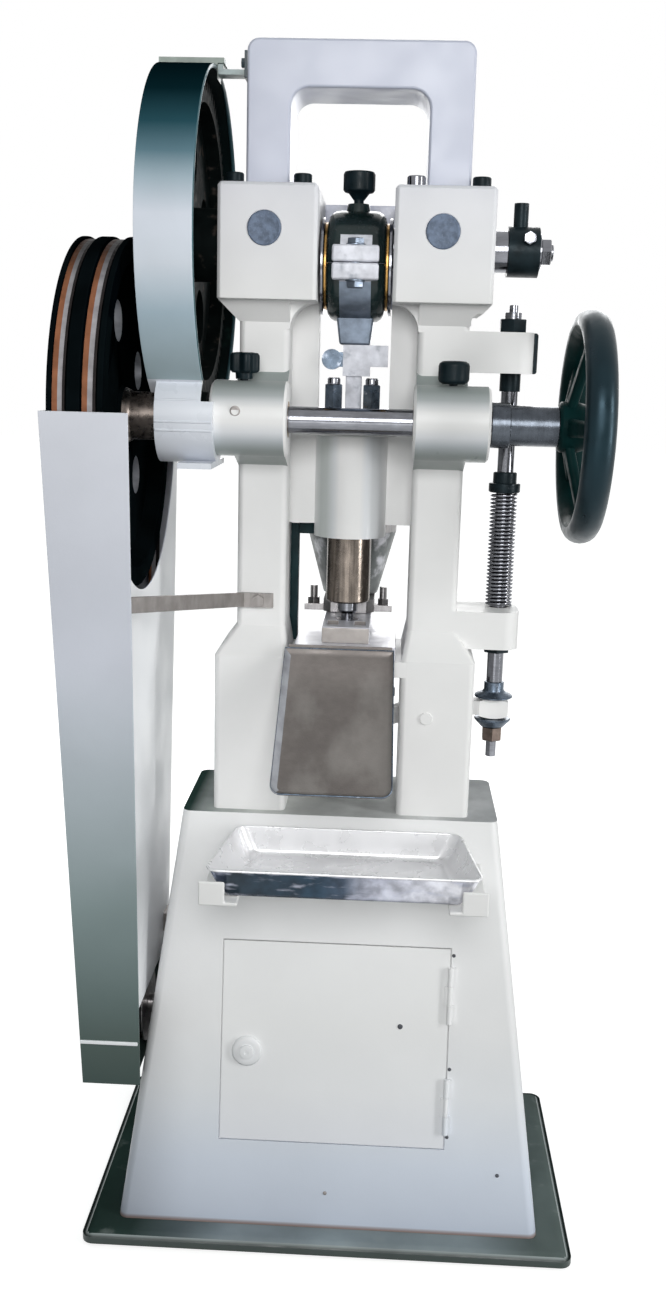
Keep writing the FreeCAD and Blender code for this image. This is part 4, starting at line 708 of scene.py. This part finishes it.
# ---------------- handwheel
def handwheel():
    """Dished handwheel: a full round rim, five leaning spokes and an offset hub."""
    radius, middle, half_r, half_x, points = 123.5, 280.0, 14.5, 18.0, 20
    turns = [2 * math.pi * (i % points) / points for i in range(points + 1)]
    rim_line = [(radius + half_r * math.cos(turn), middle + half_x * math.sin(turn)) for turn in turns]
    rim = turned("rim", "X", rim_line, DRIVE, sides=96)
    hub_line = [(16, 248), (27, 248), (30, 251), (30, 270), (27, 280), (24, 286), (16, 286), (16, 248)]
    hub = turned("hub", "X", hub_line, DRIVE, width=1.0)
    lean, taper = 19, 0.72
    spoke = block("spoke", (255, 267), (DRIVE[0] - 11, DRIVE[0] + 11), (DRIVE[1] + 24, DRIVE[1] + 114))
    for vertex in spoke.data.vertices:
        if vertex.co.z > (DRIVE[1] + 60) * MM:
            vertex.co.x += lean * MM
            vertex.co.y = (DRIVE[0] + (vertex.co.y / MM - DRIVE[0]) * taper) * MM
    round_edges(spoke, 4.5, 3)
    spokes = ring_of(spoke, 5, "X", DRIVE, math.radians(18))
    wheel = fit(joined(rim, hub, spokes), "handwheel_cast", "handwheel")
    paint(wheel, "wheel_gloss")
    repaint(wheel, "wheel_web", lambda c, n: from_drive(c) < WEB_R)


# ---------------- connecting rod
def halved(piece, name, above):
    """Half of a piece above or below the strap's joint, its cut closed."""
    half = shifted(piece, name)
    take(half)
    cut_level(BIG_END_Z + (0.5 if above else -0.5), above)
    return half


def strap():
    """Barrel-shaped strap in two halves, with ears, oil seat, tapered neck and tongue."""
    barrel = [(50.2, -36), (52, -36), (58, -34.5), (62.5, -31), (65.2, -26), (66, -19), (66, 19), (65.2, 26),
              (62.5, 31), (58, 34.5), (52, 36), (50.2, 36), (50.2, -36)]
    ring = turned("strap", "X", barrel, (0, BIG_END_Z), sides=96)
    upper, lower = halved(ring, "upper", True), halved(ring, "lower", False)
    bpy.data.objects.remove(ring)

    def ears(low, high):
        near, far = EAR_Y
        return [round_edges(block("ear", (-28, 28), y, (BIG_END_Z + low, BIG_END_Z + high)), 3.0, 4)
                for y in ((-far, -near), (near, far))]

    upper_ears, lower_ears = ears(0.5, EAR_HEIGHT), ears(-EAR_HEIGHT, -0.5)
    seat_line = [(16, 58), (14, 70), (13, 74), (6.5, 74), (6.5, 62)]
    seat = turned("seat", "Z", [(radius, BIG_END_Z + up) for radius, up in seat_line], sides=40)
    cap = joined(upper, *upper_ears, seat)
    neck = block("neck", (-24, 24), (-24, 24), (1154, 1194))
    for vertex in neck.data.vertices:
        if vertex.co.z < 1170 * MM:
            vertex.co.x *= 19 / 24
            vertex.co.y *= 15 / 24
    tongue = block("tongue", (-10, 10), (-10, 10), (1040, 1156))
    rod = joined(lower, *lower_ears, round_edges(neck, 3.0, 3), round_edges(tongue, 1.0))
    paint(cap, "green_paint")
    paint(rod, "strap_steel")

    def bright(c, n):
        """Tongue, ears and the front of the cap; the bright front of the cap is a painted highlight."""
        ear = abs(c.y) > 63 and abs(c.x) < 28.5 and abs(c.z - BIG_END_Z) < EAR_HEIGHT + 0.5
        # Between the joint and 1280 with |x| below 21 lies the front of the cap, painted bright as a painted
        # highlight.
        return c.z < 1120 or ear or (BIG_END_Z < c.z < 1280 and abs(c.x) < 21)

    for piece, name, node in ((cap, "strap_cap_cast", "strap_cap"), (rod, "con_rod_forging", "con_rod")):
        repaint(piece, "green_paint", lambda c, n: c.z > 1180 and abs(c.x) > 21)
        repaint(piece, "ear_steel", bright)
        fit(piece, name, node)


# ---------------- spring
def return_spring():
    """Coil spring between the lower lug and the rod's collar."""
    outer, wire, turns, steps = 17.4, 1.9, 30, 22
    low, high = SPRING_Z[0] + wire, SPRING_Z[1] - wire
    bpy.ops.mesh.primitive_circle_add(vertices=10, radius=wire * MM, fill_type="NOTHING",
                                      location=at("Z", low, (outer - wire, 0)), rotation=(math.pi / 2, 0, 0))
    piece = settled("spring")
    apply_modifier(piece, "coil", "SCREW", axis="Z", iterations=turns, screw_offset=(high - low) * MM / turns,
                   steps=steps, render_steps=steps)
    open_mesh()
    bpy.ops.mesh.fill_holes(sides=0)
    weld()
    piece.data.transform(Matrix.Translation((ROD_X * MM, 0, 0)))
    round_edges(piece, 0)
    piece.name = "return_spring_coil"
    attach(piece, "frame")
    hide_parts("return_spring")
    paint(piece, "bright_steel")
    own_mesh(piece)


# ---------------- knobs, plugs and fastenings
# Puts what is drawn flat on the sloping front.
DOOR_PLACE = Matrix.Translation((0, -0.163, 0.018)) @ Matrix.Rotation(-math.atan2(163 - 89, 563 - 18), 4, "X")


def knurl(piece, axis, centre, span, radius, depth):
    """Presses every other line of a grip inwards between two places along its axis."""
    for vertex in piece.data.vertices:
        along, out = vertex.co.dot(ALONG[axis]) / MM, from_axis(vertex.co, axis, centre)
        if span[0] < along < span[1] and out.length > (radius - 1.5) * MM:
            turn = math.atan2(out.y, out.x)
            if round(turn * SIDES / (2 * math.pi)) % 2:
                vertex.co -= out.normalized() * depth * MM


def oil_knob():
    """Oil knob with a knurled head, a cone and a stem."""
    foot = BIG_END_Z + 63
    line = [(6, foot), (6, 1326), (7.5, 1328), (13, 1335), (17.5, 1336), (19.5, 1338.5), (19.5, 1357),
            (18, 1359.5), (13, 1360), (12, 1359), (6, 1358.6)]
    piece = turned("knob", "Z", line)
    knurl(piece, "Z", (0, 0), (1337, 1358.5), 19.5, 0.9)
    fit(piece, "oil_knob_grip", "oil_knob")


def grease_cap():
    """Screw-down cap with a domed top and a knurled grip."""
    centre = (121.5, DRIVE[0])
    line = [(5, 1094), (5, 1109.6), (13, 1109.6), (17, 1112), (18.5, 1115), (18.5, 1131), (17.6, 1134),
            (14, 1136.4), (7, 1137)]
    piece = turned("cap", "Z", line, centre)
    knurl(piece, "Z", centre, (1114, 1132), 18.5, 0.8)
    fit(piece, "grease_cap_grip", "grease_cap")


def star_knob():
    """Knob with five lobes, a crowned top and a stem into the boss."""
    centre, lobes, depth = (-129.0, DRIVE[0]), 5, 5.2
    line = [(5, 1094), (5, 1109.6), (10, 1109.6), (10.5, 1116.5), (15.5, 1117), (18.5, 1120), (18.5, 1137),
            (16.5, 1140), (9, 1141)]
    piece = turned("knob", "Z", line, centre, sides=60)
    for vertex in piece.data.vertices:
        out = from_axis(vertex.co, "Z", centre)
        if out.length > 14 * MM:
            hollow = (1 - math.cos(lobes * math.atan2(out.y, out.x))) / 2
            vertex.co -= out.normalized() * depth * MM * hollow ** 1.5
    fit(round_edges(piece, 0), "star_knob_lobes", "star_knob")


def socket_screw(centre, low):
    """Head of a cap screw; its round socket is pressed into a hexagon."""
    head = turned("screw", "Z", [(11, low), (11, low + 10.5), (9.8, low + 12), (6.6, low + 12), (6.2, low + 6)],
                  centre, sides=24)
    for vertex in head.data.vertices:
        out = from_axis(vertex.co, "Z", centre)
        if out.length < 7 * MM:
            turn = math.atan2(out.y, out.x) % (math.pi / 3) - math.pi / 6
            vertex.co += out * (0.93 / math.cos(turn) - 1)
    return round_edges(head, 0)


def block_screws():
    """Eight cap screws that hold the bearing blocks down."""
    left, front = -146, -58
    first = socket_screw((left, front), 1336)
    copies = [shifted(first, "screw", (x - left, y - front, 0)) for x in (left, -65, 69, 146)
              for y in (front, -front)]
    bpy.data.objects.remove(first)
    piece = fit(joined(*copies), "block_cap_screws", "block_screws")
    repaint(piece, "bright_steel", lambda c, n: 60 < c.x < 80 and c.y < 0)


def block_plugs():
    """Moulded plugs in the blocks' fronts, each with a raised rim."""
    line = [(20, -80), (20, -83.2), (19.2, -84), (17.2, -84), (16.4, -83.3), (4, -83.3)]
    plugs = [turned("plug", "Y", line, (x, 1284)) for x in (-108, 102)]
    fit(joined(*plugs), "block_front_plugs", "block_plugs")


def hexagon(name, axis, radius, span, centre, bevel=1.2, bore=None):
    """Hexagon head or nut with chamfered corners, radius to its corners."""
    (low, high), flat, drop = span, radius - bevel, bevel * 0.7
    line = [(flat, low), (radius, low + drop), (radius, high - drop), (flat, high)]
    if bore:
        line = [(bore, low), *line, (bore, high), (bore, low)]
    return turned(name, axis, line, centre, sides=6)


def strap_bolts():
    """Bolts through the strap's ears, with washers under heads and nuts."""
    parts = []
    top, bottom = BIG_END_Z + EAR_HEIGHT, BIG_END_Z - EAR_HEIGHT
    for spot in ((0, -69), (0, 69)):
        parts += [hexagon("head", "Z", 11, (top + 1.2, top + 8), spot),
                  hexagon("nut", "Z", 11, (bottom - 9, bottom - 1.2), spot),
                  turned("washer", "Z", [(12, top), (12, top + 1.2), (3, top + 1.2)], spot, sides=32),
                  turned("shank", "Z", [(7, bottom - 1.2), (7, top)], spot, sides=24),
                  turned("washer", "Z", [(12, bottom - 1.2), (12, bottom), (3, bottom)], spot, sides=32)]
    paint(fit(joined(*parts), "strap_bolt_set", "strap_bolts"), "strap_steel")


def rod_nuts():
    """Collar over the spring, coned flanges at the lever, and the lock nut."""
    spot, rod, foot = (ROD_X, 0), 10.5, 6.8
    collar, upper, lower = (turned(name, "Z", line, spot) for name, line in (
        ("collar", [(rod, 976), (18.8, 976), (20, 977.2), (20, 986.8), (18.8, 988), (15, 988), (15, 1000.5),
                    (13.5, 1002), (rod, 1002), (rod, 976)]),
        ("flange", [(foot, 707), (24, 707), (25, 708), (24.2, 710), (15.5, 714), (13, 717), (13, 727), (12, 728),
                    (foot, 728), (foot, 707)]),
        ("flange", [(foot, 667), (15, 667), (16, 668), (23.4, 676), (24, 677.6), (23, 679), (foot, 679),
                    (foot, 667)])))
    nut = hexagon("nut", "Z", 14, (648, 667), spot, 1.6, foot)
    piece = fit(joined(collar, upper, lower, nut), "lift_rod_nuts", "rod_nuts")
    repaint(piece, "blue_steel", lambda c, n: 667.5 < c.z < 730)
    repaint(piece, "brown_steel", lambda c, n: c.z < 667.5)


def clamp_screws():
    """Two tall gland nuts on the barrel's flange, and the screws in the die block's slots."""
    parts = []
    for x in (-23.5, 23.5):
        spot = (x, -36)
        parts.append(turned("nut", "Z", [(11.4, 1055), (12, 1055.6), (12, 1067), (10.6, 1068)], spot, sides=32))
        parts.append(hexagon("nut", "Z", 11.9, (1068, 1106), spot, 1.4))
        parts.append(turned("stud", "Z", [(8, 1106), (8, 1112), (6.6, 1114), (2, 1114)], spot, sides=24))
    for x in (-17.5, 17.5):
        parts.append(hexagon("screw", "Z", 6.5, (784, 802), (x, -30), 0.8))
    piece = fit(joined(*parts), "clamp_screw_set", "clamp_screws")
    repaint(piece, "blue_steel", lambda c, n: 1055 < c.z < 1107)


def cam_bolt():
    """End nut, washer and stud of the crankshaft, and the cam's clamp bolt."""
    centre, clamp = (0, SHAFT_Z), (208, SHAFT_Z + 14)
    washer_line = [(20.8, 222), (22, 222.6), (22, 224.4), (21, 225), (10, 225), (10, 222), (20.8, 222)]
    washer = turned("washer", "X", washer_line, centre)
    nut = hexagon("nut", "X", 17, (225, 237), centre, 1.6, 10)
    shank = turned("bolt", "Y", [(5, -27), (5, -29)], clamp, sides=16)
    head = hexagon("bolt", "Y", 8, (-38, -29), clamp, 1.0)
    fit(joined(washer, nut, shank, head), "crank_end_nut", "cam_bolt")


def door_knob():
    """Round lock with a stepped face and a slot."""
    spot = (-111, 236)
    line = [(19.5, -0.3), (19.5, -3.2), (17, -5.5), (11.5, -5.5), (10.6, -4.9), (9.2, -5.2), (9, -8.4), (8.2, -9),
            (3, -9), (2.6, -7.6)]
    face = turned("face", "Y", line, spot)
    stem = turned("stem", "Y", [(5.5, -0.3), (5.5, 9.5)], spot, sides=24)
    bar = round_edges(block("bar", (-118, -104), (8.2, 11), (196, 243)), 0.8)
    piece = joined(face, stem, bar)
    piece.data.transform(DOOR_PLACE)
    piece = fit(piece, "door_lock", "door_knob")
    repaint(piece, "zinc_steel", lambda c, n: c.y > -128)


# ---------------- tray and chute
def corner_ring(name, corners, radius, which=(0, 1, 2, 3)):
    """Closed line through four corners, the chosen ones rounded."""
    bpy.ops.mesh.primitive_circle_add(vertices=4, radius=0.1, fill_type="NOTHING")
    piece = settled(name)
    for vertex, corner in zip(piece.data.vertices, corners):
        vertex.co = Vector(corner) * MM
        vertex.select = vertex.index in which
    for edge in piece.data.edges:
        edge.select = all(piece.data.vertices[number].select for number in edge.vertices)
    bpy.ops.object.mode_set(mode="EDIT")
    bpy.ops.mesh.bevel(offset=radius * MM, segments=6, affect="VERTICES")
    close_mesh()
    return piece


def round_bar(line, radius):
    """Round bar along a line."""
    take(line)
    bpy.ops.object.convert(target="CURVE")
    bar = bpy.context.active_object
    bar.data.bevel_depth = radius * MM
    bar.data.bevel_resolution = 3
    bpy.ops.object.convert(target="MESH")
    return round_edges(bpy.context.active_object, 0)


def sheet_metal(piece, thickness):
    """Gives a folded surface its thickness, on its inner side."""
    take(piece)
    open_mesh()
    bpy.ops.mesh.normals_make_consistent(inside=False)
    close_mesh()
    apply_modifier(piece, "sheet", "SOLIDIFY", thickness=thickness * MM, offset=-1)
    return round_edges(piece, 0)


TRAY_X = 12


def tray_corners(back, back_half, front, front_half, z):
    """Corners of the tray at one level, counterclockwise from the back left."""
    return [(TRAY_X + side, y, z) for side, y in ((-back_half, back), (-front_half, front), (front_half, front),
                                                  (back_half, back))]


def tray():
    """Pressed tray with round corners, a curved foot and a rolled lip.

    Each row gives the back, half its width, the front, half its width, and the height.
    """
    rows = [(-93.0, 142.5, -248.0, 163.5, 546.5), (-96.0, 136, -244.5, 155, 530), (-98.5, 130, -242.0, 148, 518),
            (-100.5, 126.5, -240.0, 143, 513), (-106, 120, -234, 136, 510.5)]
    piece = corner_ring("tray", tray_corners(*rows[0]), 15)
    open_mesh()
    last = rows[0]
    for row in rows[1:]:
        down = Vector((0, (row[0] + row[2] - last[0] - last[2]) / 2, row[4] - last[4])) * MM
        bpy.ops.mesh.extrude_region_move(TRANSFORM_OT_translate={"value": down})
        middle = Vector((TRAY_X, (row[0] + row[2]) / 2, row[4])) * MM
        size = ((row[1] + row[3]) / (last[1] + last[3]), (row[0] - row[2]) / (last[0] - last[2]), 1)
        bpy.ops.transform.resize(value=size, center_override=middle)
        last = row
    bpy.ops.mesh.edge_face_add()
    close_mesh()
    sheet_metal(piece, 1.8)
    lip = round_bar(corner_ring("lip", tray_corners(-93.5, 142.5, -248.0, 163.0, 546.2), 15), 1.7)
    piece = fit(joined(piece, lip), "tray_pressing", "tray")
    # The front wall of the tray gets the painted reflection of tray_front.
    repaint(piece, "tray_front", lambda c, n: n.y < -0.6 and c.y < -230 and c.z < 544)


def chute():
    """Pressed chute with flared rims and round lower corners, on a flange at the die table."""
    out = Vector((0, -0.738, 0.675))
    corners = [(-74.5, -78.5, 780), (-79, -220.5, 634), (65, -220.5, 634), (62, -78.5, 780)]
    piece = corner_ring("chute", corners, 13, (1, 2))
    open_mesh()
    bpy.ops.mesh.edge_face_add()
    bpy.ops.mesh.inset(thickness=7.5 * MM)
    bpy.ops.transform.translate(value=-out * 7 * MM)
    close_mesh()
    sheet_metal(piece, 1.6)
    rim = round_bar(corner_ring("rim", corners, 13, (1, 2)), 1.0)
    flange = round_edges(block("flange", (-70, 60), (-77, -75.2), (763, 784)), 0.6)
    for sheet, finish in ((piece, "chute_steel"), (flange, "chute_steel"), (rim, "blue_steel")):
        paint(sheet, finish)
    piece = fit(joined(piece, flange, rim), "chute_pressing", "chute")
    # Left rim of the chute: painted pale as painted highlight.
    repaint(piece, "chute_rim", lambda c, n: n.dot(out) < 0.93 and c.x < -71)


def small_beads():
    """Rolled lips, ridges and trim strips on the guards."""
    bead = 2.6
    bpy.ops.mesh.primitive_torus_add(major_radius=(GUARD_R - bead - 0.1) * MM, minor_radius=bead * MM,
                                     major_segments=128, minor_segments=10,
                                     location=at("X", -175.8, (0, SHAFT_Z)), rotation=TURN["X"])
    lip = settled("lip")
    cut_level(GUARD_SEAM, True)
    add_on(round_edges(lip, 0), "gear_guard_lip", "gear_guard", "lip_paint")
    ridges = []
    for up, right in ((21.2, -175.5), (-4.1, -161), (-14, -161)):
        y = DRIVE[0] - math.sqrt(54 ** 2 - up ** 2) + 0.6
        ridges.append(turned("ridge", "X", [(0.8, -228.6), (1.7, -228), (1.7, right - 0.6), (0.8, right)],
                             (y, DRIVE[1] + up), sides=12))
    add_on(joined(*ridges), "pinion_guard_ridges", "pinion_guard", "pinion_guard_paint")
    line = [(0.8, -320.4), (1.7, -319.8), (1.7, -228), (0.8, -227.4)]
    fold = turned("bar", "X", line, (-304.8, 1071.4), sides=12)
    # The fold and the strip take the side plate's paler finish, painted light.
    add_on(fold, "belt_guard_top_fold", "belt_guard", "side_plate_paint")
    strip = round_edges(block("strip", (-320.6, -246.5), (-175.2, -172.6), (274.6, 279.4)), 0.8)
    add_on(strip, "belt_guard_seam_strip", "belt_guard", "side_plate_paint")


def on_door(piece, name, node, finish):
    """Adds a piece that is drawn flat and stands on the pedestal's sloping front."""
    piece.data.transform(DOOR_PLACE)
    return add_on(piece, name, node, finish)


def studs(radius, *spots):
    """Small domed studs on the sloping front."""
    line = [(radius, 1), (radius, -0.4), (radius - 0.6, -1.0), (0.6, -1.1)]
    return joined(*[turned("stud", "Y", line, spot, sides=16) for spot in spots])


def door_trim():
    """Pale seal behind the door's gap, the door's small rivet, dark hinge screws and the panel's rivets."""
    left, right, low, high = (-152, -144.3), (149.3, 157), (108, 115.7), (382.3, 390)
    across, up = (-144.4, 149.4), (108, 390)
    bars = [block("bar", x, (4.3, 6), z) for x, z in ((left, up), (right, up), (across, low), (across, high))]
    on_door(joined(*[round_edges(bar, 0.3) for bar in bars]), "door_seal", "pedestal", "door_paint")
    rivet = turned("rivet", "Y", [(3.4, 0.5), (3.4, -0.5), (2.6, -1.3), (1, -1.5)], (87.5, 277), sides=20)
    on_door(rivet, "door_rivet", "door", "mark")
    on_door(studs(2.4, *[(153.4, z) for z in (374, 294, 223, 132)]), "hinge_screws", "door_hinges", "mark")
    rivets = on_door(studs(2.6, (-3.4, 48), (220.8, 83.5)), "panel_rivets", "pedestal", "zinc_steel")
    repaint(rivets, "mark", lambda c, n: c.x > 100)


def shadow_bar_and_stay_tab():
    """Dark bar and shelf behind the left upright as a painted shadow on its inner face, and the dark tab of the
    upper stay on the arch.
    """
    # The bar and the shelf stand for the shadow on the left upright's inner face: a painted shadow.
    bar = round_edges(block("bar", (-80, -67.5), (30, 50), (768, 925)), 1.0)
    shelf = round_edges(block("shelf", (-79, -44), (34, 48), (911, 925)), 1.0)
    add_on(joined(bar, shelf), "painted_shadow_bar", "column_frame", "shadow_dark")
    # The tab's dark colour is painted shade.
    tab = round_edges(block("tab", (-141, -134.2), (-16, 12), (1462, 1493)), 0.8)
    head = hexagon("head", "X", 6, (-146, -141), (-2, 1481), 0.8)
    add_on(joined(tab, head), "guard_stay_tab", "guard_stays", "tab_steel")


def boss_screw():
    """Slotted set screw in the left boss."""
    spot = (-134.6, 1072.7)
    face = DRIVE[0] - math.sqrt(BOSS_R ** 2 - (spot[1] - DRIVE[1]) ** 2)
    line = [(6.2, 3), (6.2, -0.6), (5.4, -1), (4.6, -1), (4.4, 0.4), (1.2, 0.4)]
    screw = turned("screw", "Y", [(radius, face + out) for radius, out in line], spot, sides=24)
    add_on(screw, "boss_set_screw", "column_frame", "zinc_steel")


for build in (base, handwheel, strap, return_spring, oil_knob, grease_cap, star_knob, block_screws, block_plugs,
              strap_bolts, rod_nuts, clamp_screws, cam_bolt, door_knob, door_trim, shadow_bar_and_stay_tab, tray, chute,
              small_beads, boss_screw):
    build()
